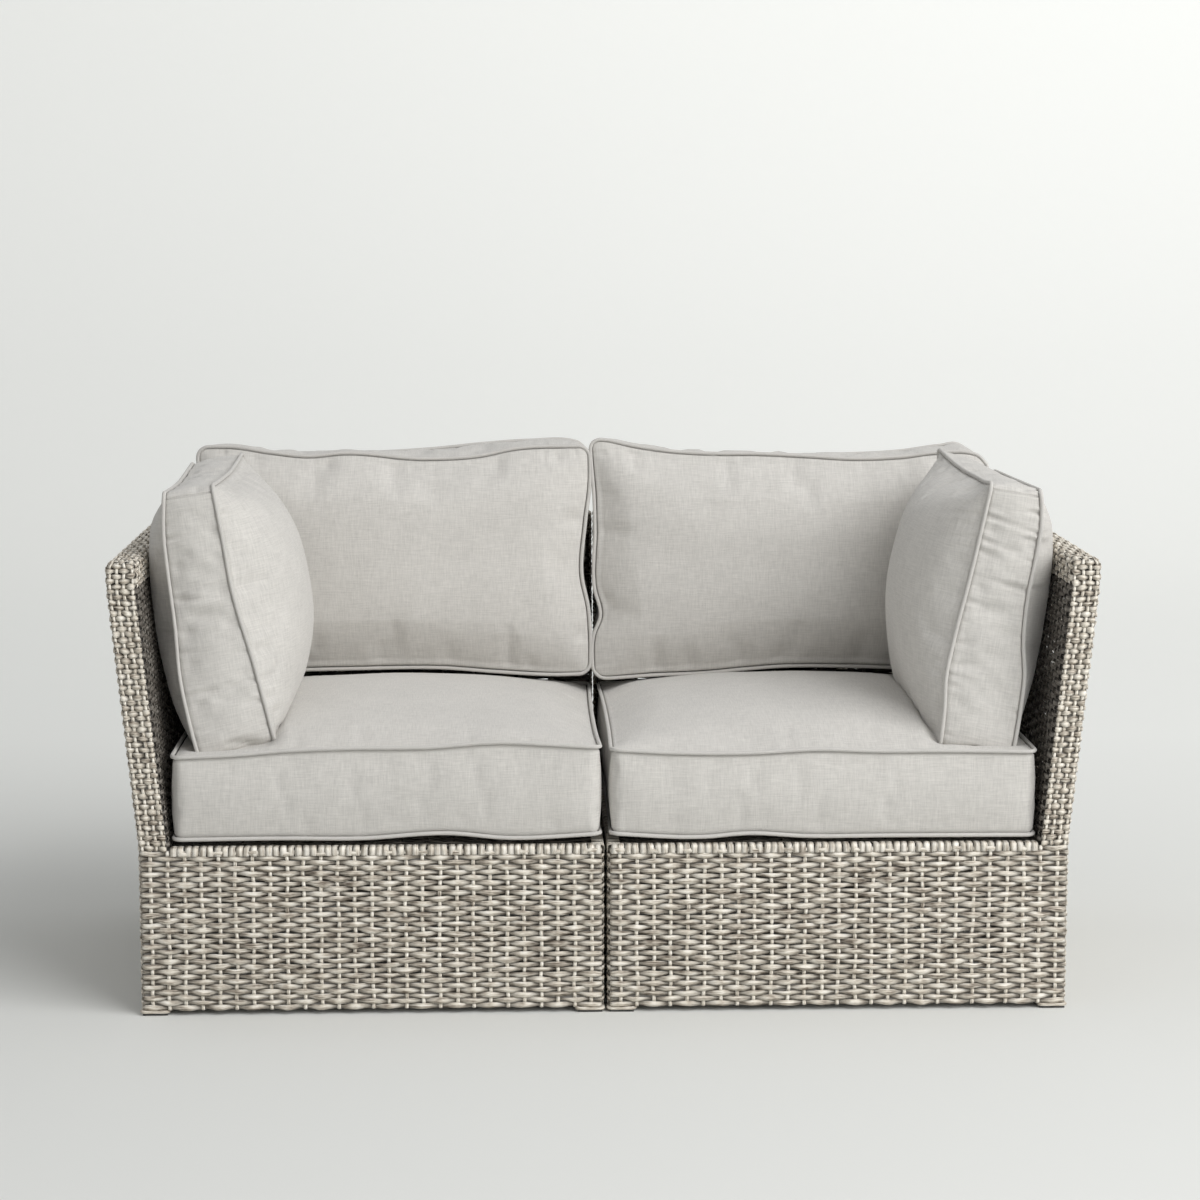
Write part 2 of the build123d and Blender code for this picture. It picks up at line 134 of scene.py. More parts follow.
class Graph:
    """A node tree with short ways to add nodes and join them."""

    def __init__(self, tree: Tree) -> None:
        """Draws in the given tree."""
        self.tree = tree
        self.given: dict[str, Value] = {}

    @classmethod
    def group(cls, name: str, kind: str, inputs: dict[str, str], outputs: dict[str, str]) -> "Graph":
        """A new group with named sockets.

        Args:
            name: Name of the group.
            kind: Type of node tree.
            inputs: Names of the inputs, parted by commas, for each socket type.
            outputs: Names of the outputs in the same way.

        Returns:
            The graph, with its inputs in .given.
        """
        tree = bpy.data.node_groups.new(name, kind)
        for way, sockets in (("INPUT", inputs), ("OUTPUT", outputs)):
            for socket_type, labels in sockets.items():
                for label in labels.split(", "):
                    tree.interface.new_socket(label, in_out=way, socket_type=socket_type)
        graph = cls(tree)
        ends = graph.add("NodeGroupInput").outputs
        graph.given = {end.name: Value(graph, end) for end in ends if end.name}
        return graph

    def finish(self, **results: Any) -> Tree:
        """Puts each result on the group's output and returns the tree."""
        self.add("NodeGroupOutput", results)
        return self.tree

    def add(self, kind: str, inputs: dict[Any, Any] | None = None, **settings: Any) -> Node:
        """Adds a node.

        Args:
            kind: Node type.
            inputs: Values or sockets for its inputs, by name or number.
            **settings: Properties of the node.

        Returns:
            The node.
        """
        node = self.tree.nodes.new(kind)
        for key, value in settings.items():
            setattr(node, key, value)
        self.fill(node, inputs or {})
        return node

    def out(self, kind: str, inputs: dict[Any, Any] | None = None, socket: Any = 0, **settings: Any) -> Value:
        """Adds a node and takes one of its outputs."""
        return Value(self, self.add(kind, inputs, **settings).outputs[socket])

    def all_out(self, kind: str, inputs: dict[Any, Any], **settings: Any) -> list[Value]:
        """Adds a node and takes all of its outputs."""
        return [Value(self, socket) for socket in self.add(kind, inputs, **settings).outputs]

    def fill(self, node: Node, inputs: dict[Any, Any]) -> None:
        """Gives the inputs of a node their values, or joins them to outputs.

        Args:
            node: The node.
            inputs: Values, colours or sockets, by name or number of the input.
        """
        for key, value in inputs.items():
            socket = node.inputs[key]
            value = value.socket if isinstance(value, Value) else value
            if isinstance(value, Socket):
                self.tree.links.new(value, socket)
            else:
                socket.default_value = (*value, 1.0) if socket.type == "RGBA" else value

    def math(self, operation: str, *values: Any, clamp: bool = False) -> Value:
        """The result of a Math node on these values."""
        return self.out("ShaderNodeMath", dict(enumerate(values)), operation=operation, use_clamp=clamp)

    def vector(self, x: Any = 0.0, y: Any = 0.0, z: Any = 0.0) -> Value:
        """A vector from three values."""
        return self.out("ShaderNodeCombineXYZ", {0: x, 1: y, 2: z})

    def parts(self, vector: Value) -> list[Value]:
        """The three values of a vector."""
        return self.all_out("ShaderNodeSeparateXYZ", {0: vector})

    def noise(self, vector: Any, scale: Any = 1.0, detail: float = 2.0, rough: float = 0.5) -> Value:
        """Smooth noise between 0 and 1."""
        return self.out("ShaderNodeTexNoise", {"Vector": vector, "Scale": scale, "Detail": detail,
                                               "Roughness": rough})

    def wander(self, vector: Value, size: Value) -> Value:
        """Smooth noise about nought, about as large as size either way."""
        return (self.noise(vector, 1.0, 1.0) - 0.5) * size * 4.0

    def ramp(self, factor: Any, stops: Sequence[tuple[float, Colour]]) -> Value:
        """Colours along a ramp.

        Args:
            factor: Where on the ramp.
            stops: Place and colour of each stop.

        Returns:
            The colour.
        """
        node = self.add("ShaderNodeValToRGB", {0: factor})
        elements = node.color_ramp.elements
        while len(elements) < len(stops):
            elements.new(1.0)
        for element, (place, colour) in zip(elements, stops):
            element.position, element.color = place, (*colour, 1.0)
        return Value(self, node.outputs[0])

    def blend(self, factor: Any, first: Any, second: Any, how: str = "MIX") -> Value:
        """One colour over another."""
        return self.out("ShaderNodeMix", {0: factor, 6: first, 7: second}, 2, data_type="RGBA",
                        blend_type=how)

    def bump(self, height: Value, strength: float, depth: float) -> Value:
        """The normal of a surface raised by a height map of so many metres."""
        return self.out("ShaderNodeBump", {"Height": height, "Strength": strength, "Distance": depth})

    def place(self, group: str, inputs: dict[str, Any]) -> list[Value]:
        """Puts a shader group into the tree and returns its outputs."""
        return self.all_out("ShaderNodeGroup", inputs, node_tree=GROUPS[group])

    def attribute(self, name: str, socket: str) -> Value:
        """An attribute of the surface, in a material."""
        return self.out("ShaderNodeAttribute", socket=socket, attribute_name=name)

    def named(self, name: str, data_type: str = "FLOAT") -> Value:
        """An attribute of the geometry, by name."""
        return self.out("GeometryNodeInputNamedAttribute", {"Name": name}, data_type=data_type)

    def store(self, geometry: Value, name: str, value: Any, data_type: str = "FLOAT") -> Value:
        """Stores an attribute on the points of the geometry."""
        inputs = {"Geometry": geometry, "Name": name, "Value": value}
        return self.out("GeometryNodeStoreNamedAttribute", inputs, data_type=data_type, domain="POINT")

    def solid(self, geometry: Value) -> Tree:
        """Ends a tree of geometry nodes: smooth, made real, and in the finish that it is given.

        Args:
            geometry: What the tree has made.

        Returns:
            The tree.
        """
        smooth = self.out("GeometryNodeSetShadeSmooth", {0: geometry})
        real = self.out("GeometryNodeRealizeInstances", {0: smooth})
        inputs = {"Geometry": real, "Material": self.given["Finish"]}
        return self.finish(Geometry=self.out("GeometryNodeSetMaterial", inputs))


# Finishes


def cloth_threads() -> Tree:
    """Shader group: plain weave with slubs, on a vector in metres along the cloth."""
    g = Graph.group("Cloth threads", "ShaderNodeTree", {VECTOR: "Cloth", FLOAT: "Thread, Slub"},
                    {FLOAT: "Tone, Height"})
    cloth, thread, slub = g.given.values()
    x, y, z = g.parts(cloth)
    turn = g.math("DIVIDE", math.tau, thread)
    checks = g.math("SINE", x * turn) * g.math("SINE", y * turn)
    thin, long = 620.0, 45.0
    across = g.noise(g.vector(x * long, y * thin, z), 1.0, 2.0, 0.6)
    along = g.noise(g.vector(x * thin, y * long, z), 1.0, 2.0, 0.6)
    slubs = (across - 0.5) + (along - 0.5)
    patches = g.noise(cloth, 14.0) - 0.5
    tone = 0.5 + slubs * slub * 0.8 + patches * 0.25
    return g.finish(Tone=tone + checks * 0.05, Height=checks * 0.3 + slubs * slub)


def strand_streaks() -> Tree:
    """Shader group: long streaks and fine ribs of an extruded strand, on (along, across, strand)."""
    g = Graph.group("Strand streaks", "ShaderNodeTree", {VECTOR: "Grain", FLOAT: "Length"},
                    {FLOAT: "Tone, Height"})
    along, across, strand = g.parts(g.given["Grain"])
    long = along * g.given["Length"]
    broad = g.noise(g.vector(long, across * 0.55, strand * 7.3), 1.0, 2.0, 0.55)
    fine = g.noise(g.vector(long * 0.5, across * 3.2, strand * 3.1), 1.0, 3.0)
    ribs = g.noise(g.vector(long * 0.15, across * 9.0, strand), 1.0, 1.0)
    return g.finish(Tone=broad * 0.5 + fine * 0.5, Height=ribs * 0.7 + fine * 0.3)


def wear_dust() -> Tree:
    """Shader group: faint dust and scuffs on hard pieces, on Object coordinates."""
    g = Graph.group("Dust and scuffs", "ShaderNodeTree", {VECTOR: "Vector", FLOAT: "Scale, Amount"},
                    {FLOAT: "Mask, Height"})
    place, scale, amount = g.given.values()
    mask = g.math("MULTIPLY", g.noise(place, scale, 4.0) - 0.42, amount * 5.0, clamp=True)
    return g.finish(Mask=mask, Height=g.noise(place, scale * 14.0, 1.0))


GROUPS = {"threads": cloth_threads(), "streaks": strand_streaks(), "dust": wear_dust()}


@dataclass(frozen=True)
class Finish:
    """A finish: what a piece is made of, as a material."""

    name: str
    colour: Colour
    roughness: float = 0.6

    def material(self) -> bpy.types.Material:
        """The material, made the first time that it is asked for.

        Returns:
            The material.
        """
        found = bpy.data.materials.get(self.name)
        if not found:
            found = bpy.data.materials.new(self.name)
            found.use_nodes = True
            found.diffuse_color = (*self.colour, 1.0)
            graph, shader = Graph(found.node_tree), found.node_tree.nodes["Principled BSDF"]
            graph.fill(shader, {"Base Color": self.colour, "Roughness": self.roughness})
            graph.fill(shader, self.dress(graph))
        return found

    def dress(self, g: Graph) -> dict[str, Any]:
        """What the finish puts on the inputs of its Principled BSDF, by name."""
        return {}


@dataclass(frozen=True)
class Cloth(Finish):
    """Slubby woven cloth that follows the piece's own cloth coordinates."""

    thread: float = 0.0011
    slub: float = 1.0
    contrast: float = 0.16
    relief: float = 0.00025
    fuzz: float = 0.25

    def dress(self, g: Graph) -> dict[str, Any]:
        """Threads, slubs and a soft nap.

        Args:
            g: The material's graph.

        Returns:
            Values for the Principled BSDF.
        """
        tone, height = g.place("threads", {"Cloth": g.attribute("cloth", "Vector"), "Thread": self.thread,
                                           "Slub": self.slub})
        dark, light = (tuple(min(1.0, c * (1 + way * self.contrast)) for c in self.colour) for way in (-1, 1))
        return {"Base Color": g.ramp(tone, [(0.15, dark), (0.5, self.colour), (0.85, light)]),
                "Sheen Weight": self.fuzz, "Sheen Roughness": 0.5, "Specular IOR Level": 0.25,
                "Normal": g.bump(height, 0.7, self.relief)}


@dataclass(frozen=True)
class Strand(Finish):
    """Half-round extruded resin strand, streaked along its length."""

    dark: Colour = (0.17, 0.135, 0.105)
    middle: Colour = (0.52, 0.46, 0.38)
    pale: Colour = (0.97, 0.92, 0.83)
    first_upright: float = 399.0
    streak: float = 48.0

    def dress(self, g: Graph) -> dict[str, Any]:
        """Streaks from dark to pale, painted shade that darkens a strand where it dips under another, and
        paler uprights as a painted highlight.

        Args:
            g: The material's graph.

        Returns:
            Values for the Principled BSDF.
        """
        grain, lift = g.attribute("grain", "Vector"), g.attribute("lift", "Fac")
        tone, height = g.place("streaks", {"Grain": grain, "Length": self.streak})
        # Painted highlight: the uprights are made a little paler than the rows.
        upright = g.math("GREATER_THAN", g.parts(grain)[2], self.first_upright)
        tone = g.math("MULTIPLY_ADD", upright, 0.05, tone)
        colour = g.ramp(tone, [(0.36, self.dark), (0.45, self.middle), (0.53, self.colour),
                               (0.62, self.pale)])
        # Painted shade: the colour is darkened where the strand lies deep, by its lift.
        shade = g.math("MULTIPLY_ADD", lift, 0.34, 0.7, clamp=True)
        shaded = g.blend(1.0, colour, g.ramp(shade, [(0.0, (0.0,) * 3), (1.0, (1.0,) * 3)]), "MULTIPLY")
        return {"Base Color": shaded, "Roughness": g.math("MULTIPLY_ADD", tone, -0.2, self.roughness + 0.1),
                "Specular IOR Level": 0.35, "Normal": g.bump(height, 0.5, 0.0006)}


@dataclass(frozen=True)
class Hard(Finish):
    """A painted, moulded or plated piece with faint dust and grain."""

    metallic: float = 0.0
    dust: Colour = (0.45, 0.43, 0.4)
    amount: float = 0.25
    grain: float = 60.0
    relief: float = 0.0002

    def dress(self, g: Graph) -> dict[str, Any]:
        """Paint or plastic with a little dust and an orange-peel surface.

        Args:
            g: The material's graph.

        Returns:
            Values for the Principled BSDF.
        """
        mask, height = g.place("dust", {"Vector": g.out("ShaderNodeTexCoord", socket="Object"),
                                        "Scale": self.grain, "Amount": self.amount})
        return {"Base Color": g.blend(mask * 0.5, self.colour, self.dust), "Metallic": self.metallic,
                "Roughness": g.math("MULTIPLY_ADD", mask, 0.2, self.roughness),
                "Normal": g.bump(height, 0.4, self.relief)}


@dataclass(frozen=True)
class Sweep(Finish):
    """The studio's backdrop, with painted light: a faint glow that only the camera and reflections see."""

    glow: Sequence[tuple[float, float]] = ((0.1, 0.0), (2.0, 0.165), (4.5, 0.272), (7.0, 0.307), (9.4, 0.39))

    def dress(self, g: Graph) -> dict[str, Any]:
        """Painted light: a glow that grows to the rear and to the right.

        Args:
            g: The material's graph.

        Returns:
            Values for the Principled BSDF.
        """
        x, y, z = g.parts(g.out("ShaderNodeTexCoord", socket="Object"))
        first, last = self.glow[0][0], self.glow[-1][0]
        run = g.out("ShaderNodeMapRange", {0: y + z, 1: first, 2: last})
        level = g.ramp(run, [((place - first) / (last - first), (v,) * 3) for place, v in self.glow])
        glow = level * g.math("MULTIPLY_ADD", g.math("TANH", x * (1 / 3)), 0.3, 1.0)
        path = g.add("ShaderNodeLightPath").outputs
        other = g.math("MAXIMUM", path["Is Glossy Ray"], path["Is Transmission Ray"])
        return {"Specular IOR Level": 0.1, "Emission Color": (0.97, 0.98, 0.95),
                "Emission Strength": glow * g.math("MAXIMUM", path["Is Camera Ray"], other)}


WICKER = Strand("Streaked resin strand", (0.8, 0.74, 0.635), 0.5, middle=(0.56, 0.495, 0.41))
# Painted shade: a dark copy of the strand for the inner faces and the deck, darker than the strand itself.
SHADED_WICKER = Strand("Strand with painted shade for the inner faces", (0.2, 0.18, 0.155), 0.6, dark=(0.05, 0.04, 0.03),
                       middle=(0.12, 0.105, 0.09), pale=(0.28, 0.26, 0.23))
LINEN = Cloth("Slubby outdoor cloth", (0.615, 0.595, 0.56), 0.92)
WELT = Cloth("Welt cloth", (0.585, 0.567, 0.535), 0.9, thread=0.0009, slub=0.8, contrast=0.14)
TUBE = Hard("Powder-coated tube", (0.3, 0.28, 0.26), 0.45, amount=0.2, grain=40.0)
GLIDE = Hard("Moulded glide", (0.05, 0.05, 0.05), 0.5, grain=120.0)
TAPE = Cloth("Zip tape", (0.42, 0.41, 0.39), 0.85, thread=0.0008, slub=0.4, contrast=0.1)
COIL = Hard("Nylon zip coil", (0.36, 0.35, 0.33), 0.35, grain=300.0, relief=0.00005)
SLIDER = Hard("Painted zip slider", (0.35, 0.34, 0.33), 0.35, metallic=0.6, grain=300.0, relief=0.00005)
BACKDROP = Sweep("Pale sweep", (0.77, 0.775, 0.75), 0.9)


# Meshes


def make_mesh(name: str, points: Array, quads: Array, cloth: Array | None = None) -> Mesh:
    """A smooth mesh of quads.

    Args:
        name: Name of the mesh.
        points: Places of its points.
        quads: Four point numbers for each face.
        cloth: Where each point lies on its cloth, if it has any.

    Returns:
        The mesh.
    """
    mesh = bpy.data.meshes.new(name)
    mesh.vertices.add(len(points))
    mesh.vertices.foreach_set("co", np.ascontiguousarray(points, np.float32).ravel())
    mesh.loops.add(quads.size)
    mesh.loops.foreach_set("vertex_index", np.ascontiguousarray(quads, np.int32).ravel())
    mesh.polygons.add(len(quads))
    mesh.polygons.foreach_set("loop_start", np.arange(0, quads.size, 4, dtype=np.int32))
    mesh.update(calc_edges=True)
    mesh.validate()
    mesh.shade_smooth()
    if cloth is not None:
        places = mesh.attributes.new("cloth", "FLOAT_VECTOR", "POINT")
        places.data.foreach_set("vector", cloth.astype(np.float32).ravel())
    return mesh


def points_of(mesh: Mesh) -> Array:
    """The places of a mesh's points."""
    found = np.empty(len(mesh.vertices) * 3, np.float32)
    mesh.vertices.foreach_get("co", found)
    return found.reshape(-1, 3).astype(float)


def set_points(mesh: Mesh, points: Array) -> None:
    """Moves a mesh's points."""
    mesh.vertices.foreach_set("co", np.ascontiguousarray(points, np.float32).ravel())
    mesh.update()


def grid(ids: Array) -> Array:
    """Faces of a grid of points."""
    return np.stack([ids[:-1, :-1], ids[1:, :-1], ids[1:, 1:], ids[:-1, 1:]], -1).reshape(-1, 4)


def border(ids: Array) -> Array:
    """The rim of a grid of points, anticlockwise from its low corner."""
    return np.concatenate([ids[:-1, 0], ids[-1, :-1], ids[:0:-1, -1], ids[0, :0:-1]])


def band(rings: Array) -> Array:
    """Faces between closed rings of points."""
    ahead = np.roll(rings, -1, 1)
    return np.stack([rings[:-1], ahead[:-1], ahead[1:], rings[1:]], -1).reshape(-1, 4)


def attach(name: str, data: Any) -> Object:
    """An object for a mesh, curve, lamp or camera, at the origin of the scene."""
    piece = bpy.data.objects.new(name, data)
    bpy.context.scene.collection.objects.link(piece)
    return piece


def path_curve(name: str, points: Array, closed: bool) -> Object:
    """A curve of straight runs through points, for a tree of nodes to follow.

    Args:
        name: Name of the curve.
        points: Its points.
        closed: Whether it ends where it starts.

    Returns:
        The curve's object.
    """
    curve = bpy.data.curves.new(name, "CURVE")
    curve.dimensions = "3D"
    spline = curve.splines.new("POLY")
    spline.points.add(len(points) - 1)
    spline.points.foreach_set("co", np.c_[points, np.ones(len(points))].ravel())
    spline.use_cyclic_u = closed
    return attach(name, curve)


def grow(name: str, tree: Tree, values: dict[str, Any], source: Object | None = None) -> Mesh:
    """Runs a tree of geometry nodes once and keeps its mesh.

    Args:
        name: Name for the mesh.
        tree: The tree.
        values: Its inputs, by name.
        source: Object that carries the input, which is removed afterwards.

    Returns:
        The plain mesh.
    """
    carrier = source or attach(name + "_carrier", bpy.data.meshes.new(name + "_carrier"))
    modifier = carrier.modifiers.new("Build", "NODES")
    modifier.node_group = tree
    for socket in tree.interface.items_tree:
        if socket.name in values:
            modifier[socket.identifier] = values[socket.name]
    depsgraph = bpy.context.evaluated_depsgraph_get()
    mesh = bpy.data.meshes.new_from_object(carrier.evaluated_get(depsgraph), preserve_all_data_layers=True,
                                           depsgraph=depsgraph)
    mesh.name = name
    bpy.data.objects.remove(carrier)
    return mesh


def join_meshes(meshes: list[Mesh]) -> Mesh:
    """One mesh out of several, with their attributes and materials.

    Args:
        meshes: The meshes, which are used up.

    Returns:
        The whole.
    """
    if len(meshes) == 1:
        return meshes[0]
    pieces = [attach(mesh.name, mesh) for mesh in meshes]
    with bpy.context.temp_override(active_object=pieces[0], object=pieces[0], selected_objects=pieces,
                                   selected_editable_objects=pieces):
        bpy.ops.object.join()
    mesh = pieces[0].data
    bpy.data.objects.remove(pieces[0])
    return mesh


def even(stops: Stops, where: Array) -> Array:
    """A smooth line through stops.

    Args:
        stops: Share and value of each stop by turns.
        where: Shares at which the line is wanted.

    Returns:
        The values there, eased between the stops.
    """
    shares, values = np.array(stops, float).reshape(-1, 2).T
    spans = np.clip(np.searchsorted(shares, where, side="right") - 1, 0, len(shares) - 2)
    slopes = np.gradient(values, shares)
    width = shares[spans + 1] - shares[spans]
    t = np.clip((where - shares[spans]) / width, 0, 1)
    return ((2 * t**3 - 3 * t**2 + 1) * values[spans] + (t**3 - 2 * t**2 + t) * width * slopes[spans]
            + (3 * t**2 - 2 * t**3) * values[spans + 1] + (t**3 - t**2) * width * slopes[spans + 1])


def finer(coarse: Array, times: int) -> Array:
    """Reads a grid of moves onto finer ones.

    Args:
        coarse: Moves on the coarse grid.
        times: How many times the cells are halved.

    Returns:
        Moves on the fine grid.
    """
    for _ in range(times):
        full = np.zeros((2 * coarse.shape[0] - 1, 2 * coarse.shape[1] - 1, 3))
        full[::2, ::2] = coarse
        full[1::2, ::2] = (coarse[:-1] + coarse[1:]) / 2
        full[:, 1::2] = (full[:, :-1:2] + full[:, 2::2]) / 2
        coarse = full
    return coarse


def even_spaced(points: Array, step: float, closed: bool = True) -> Array:
    """Points at equal steps along a line.

    Args:
        points: The line.
        step: About how far apart.
        closed: Whether it ends where it starts.

    Returns:
        The points.
    """
    line = np.vstack([points, points[:1]]) if closed else points
    run = np.r_[0, np.cumsum(np.linalg.norm(np.diff(line, axis=0), axis=1))]
    marks = np.linspace(0, run[-1], max(4, round(run[-1] / step)), endpoint=not closed)
    return np.stack([np.interp(marks, run, line[:, i]) for i in range(3)], -1)


# Trees that repeat or follow a path


def strand_tree() -> Tree:
    """Geometry nodes: rows of half-round strands woven over and under upright ones.

    The panel lies flat: X along the rows, Y up the uprights, Z out of the face.

    Returns:
        The tree.
    """
    g = Graph.group("Woven strands", "GeometryNodeTree", {
        FLOAT: "Length, Height, Margin, Row Width, Row Thickness, Post Width, Post Thickness, Relief, Depth, "
               "Parity, Uneven, Seed",
        INTEGER: "Rows, Posts, Row Steps, Post Steps", MATERIAL: "Finish"}, {GEOMETRY: "Geometry"})
    (length, height, margin, row_width, row_thickness, post_width, post_thickness, relief, depth, parity,
     uneven, seed, row_count, post_count, row_steps, post_steps, _) = g.given.values()
    double = margin * 2.0
    pitch = (length - double) / (post_count - 1.0).most(1.0)
    row_pitch = height / row_count.most(1.0)

    def bundle(count: Value, steps: Value) -> tuple[Value, ...]:
        """Equal strands of five sides, one on another.

        Args:
            count: How many.
            steps: How many steps each has along it.

        Returns:
            (mesh, number of the strand, crown, place across, share along).
        """
        bar = g.out("GeometryNodeMeshCylinder", {"Vertices": 5, "Side Segments": steps, "Radius": 1.0,
                                                 "Depth": 1.0}, fill_type="NGON")
        spots = g.out("GeometryNodePoints", {"Count": count})
        spots = g.store(spots, "strand", g.out("GeometryNodeInputIndex"))
        placed = g.out("GeometryNodeInstanceOnPoints", {"Points": spots, "Instance": bar})
        real = g.out("GeometryNodeRealizeInstances", {0: placed})
        x, y, z = g.parts(g.out("GeometryNodeInputPosition"))
        return real, g.named("strand"), x.most(x * 0.55), y, z + 0.5

    def strays(first: Value, second: Value, shift: float, size: float) -> Value:
        """Unevenness along a strand, apart for each seed."""
        return g.wander(g.vector(first, second, seed + shift), uneven * size)

    def laid(strands: Value, run: Value, reach: float, side: Value, number: Value, kind: Value, lift: Value,
             place: Value) -> Value:
        """Moves strands to their place, each with a part of the long grain of its own.

        Args:
            strands: The strands.
            run: Place along each.
            reach: Length of the grain that they are cut from.
            side: Place across each.
            number: Number of each.
            kind: Number that its streaks are read by.
            lift: How far each is on top of the others, from -1 to 1.
            place: Where each point goes.

        Returns:
            The strands.
        """
        start = g.out("FunctionNodeRandomValue", {"ID": number, "Seed": seed, 3: reach}, 1, data_type="FLOAT")
        strands = g.store(strands, "grain", g.vector(run + start, side, kind), "FLOAT_VECTOR")
        # The strand finish reads lift as painted shade, darker the deeper the strand lies.
        strands = g.store(strands, "lift", lift)
        return g.out("GeometryNodeSetPosition", {"Geometry": strands, "Position": place})

    mesh, number, crown, across, share = bundle(row_count, row_steps)
    along = share * length
    inner = along - margin
    tail = inner - (length - double)
    phase = ((inner / pitch).most(0.0).least(post_count - 1.0) + (inner / double).least(0.0)
             + (tail / double).most(0.0))
    swing = g.math("COSINE", (phase + number + parity) * math.pi)
    rise = strays(along * 34.0, number * 5.31, 0.0, 0.0007)
    spread = strays(along * 22.0, number * 3.77, 9.0, 0.14)
    tilt = strays(along * 30.0, number * 7.19, 17.0, 0.22)
    half = row_width * 0.5 * g.math("MULTIPLY_ADD", swing, 0.13, spread + 0.9)
    up = (number + 0.5) * row_pitch + across * half * -1.0 + rise
    out = relief * swing + crown * row_thickness * 0.5 + across * half * tilt + depth * -1.0
    rows = laid(mesh, along, 40.0, across, number, number, swing, g.vector(along, up, out))

    mesh, number, crown, across, share = bundle(post_count, post_steps)
    up = share * height
    swing = g.math("COSINE", ((up / row_pitch - 0.5) + number + parity) * math.pi) * -1.0
    sway = strays(up * 16.0, number * 4.13, 25.0, 0.0011)
    side = number * pitch + margin + across * post_width * 0.5 + sway
    out = relief * swing * 0.75 + crown * post_thickness * 0.5 + depth * -1.0
    # Uprights keep a lift of at least 0.3, so their painted shade stays light.
    posts = laid(mesh, up, 60.0, across, number, number + 400.0, swing.most(0.3), g.vector(side, up, out))

    joined = g.add("GeometryNodeJoinGeometry", {0: rows})
    g.fill(joined, {0: posts})
    return g.solid(joined.outputs[0])


def welt_tree() -> Tree:
    """Geometry nodes: a covered cord along a closed path, a little lumpy.

    Returns:
        The tree.
    """
    g = Graph.group("Covered cord", "GeometryNodeTree", {
        GEOMETRY: "Geometry", FLOAT: "Radius, Flatten, Lumps, Seed", INTEGER: "Sides", MATERIAL: "Finish"},
        {GEOMETRY: "Geometry"})
    path, radius, flatten, lumps, seed, sides, _ = g.given.values()
    run = g.out("GeometryNodeSplineParameter", socket="Length")
    path = g.store(path, "run", run)
    lump = g.wander(g.vector(run * 55.0, seed), lumps)
    path = g.out("GeometryNodeSetCurveRadius", {0: path, 2: lump + 1.0})
    ring = g.out("GeometryNodeCurvePrimitiveCircle", {"Resolution": sides, "Radius": radius})
    spot = g.out("GeometryNodeInputPosition")
    x, y, _ = g.parts(spot)
    flat = g.out("GeometryNodeSetPosition", {"Geometry": g.store(ring, "ring", spot, "FLOAT_VECTOR"),
                                             "Position": g.vector(x, y * flatten)})
    tube = g.out("GeometryNodeCurveToMesh", {0: path, 1: flat})
    x, y, _ = g.parts(g.named("ring", "FLOAT_VECTOR"))
    run = g.named("run")
    tube = g.store(tube, "cloth", g.vector(run + x * 1.2, y, x), "FLOAT_VECTOR")
    tube = g.store(tube, "grain", g.vector(run, y / radius, seed), "FLOAT_VECTOR")
    # A fixed lift of 0.6, which a strand finish reads as a light, even painted shade.
    return g.solid(g.store(tube, "lift", 0.6))


def repeat_tree() -> Tree:
    """Geometry nodes: short rounded bars at a steady pitch along a path, as stitches or zip teeth.

    Returns:
        The tree.
    """
    g = Graph.group("Repeated bars", "GeometryNodeTree", {
        GEOMETRY: "Geometry", FLOAT: "Pitch, Bar Length, Bar Radius, Across", MATERIAL: "Finish"},
        {GEOMETRY: "Geometry"})
    path, pitch, length, radius, across, _ = g.given.values()
    spots = g.add("GeometryNodeCurveToPoints", {"Curve": path, "Length": pitch}, mode="LENGTH").outputs
    bar = g.out("GeometryNodeMeshIcoSphere", {"Radius": 1.0, "Subdivisions": 1})
    bar = g.store(bar, "ring", g.out("GeometryNodeInputPosition"), "FLOAT_VECTOR")
    turn = g.out("FunctionNodeRotateRotation", {0: spots["Rotation"], 1: g.vector(across * QUARTER)},
                 rotation_space="LOCAL")
    size = g.vector(radius, radius, length * 0.5)
    placed = g.out("GeometryNodeInstanceOnPoints", {"Points": spots["Points"], "Instance": bar,
                                                    "Rotation": turn, "Scale": size})
    real = g.out("GeometryNodeRealizeInstances", {0: placed})
    cloth = g.out("ShaderNodeVectorMath", {0: g.named("ring", "FLOAT_VECTOR"), 1: (0.002,) * 3},
                  operation="MULTIPLY")
    return g.solid(g.store(real, "cloth", cloth, "FLOAT_VECTOR"))


TREES = {"weave": strand_tree(), "welt": welt_tree(), "bars": repeat_tree()}


def covered_cord(name: str, loop: Array, radius: float, sides: int, flatten: float, lumps: float, seed: float,
                 finish: Finish) -> Mesh:
    """A covered cord round a closed loop."""
    values = {"Radius": radius, "Sides": sides, "Flatten": flatten, "Lumps": lumps, "Seed": seed,
              "Finish": finish.material()}
    return grow(name, TREES["welt"], values, path_curve(name + "_path", loop, True))


def bars(name: str, line: Array, pitch: float, length: float, radius: float, finish: Finish,
         across: float = 0.0) -> Mesh:
    """Short bars along a line, as stitches, or across it, as zip teeth."""
    values = {"Pitch": pitch, "Bar Length": length, "Bar Radius": radius, "Across": across,
              "Finish": finish.material()}
    return grow(name, TREES["bars"], values, path_curve(name + "_path", line, False))


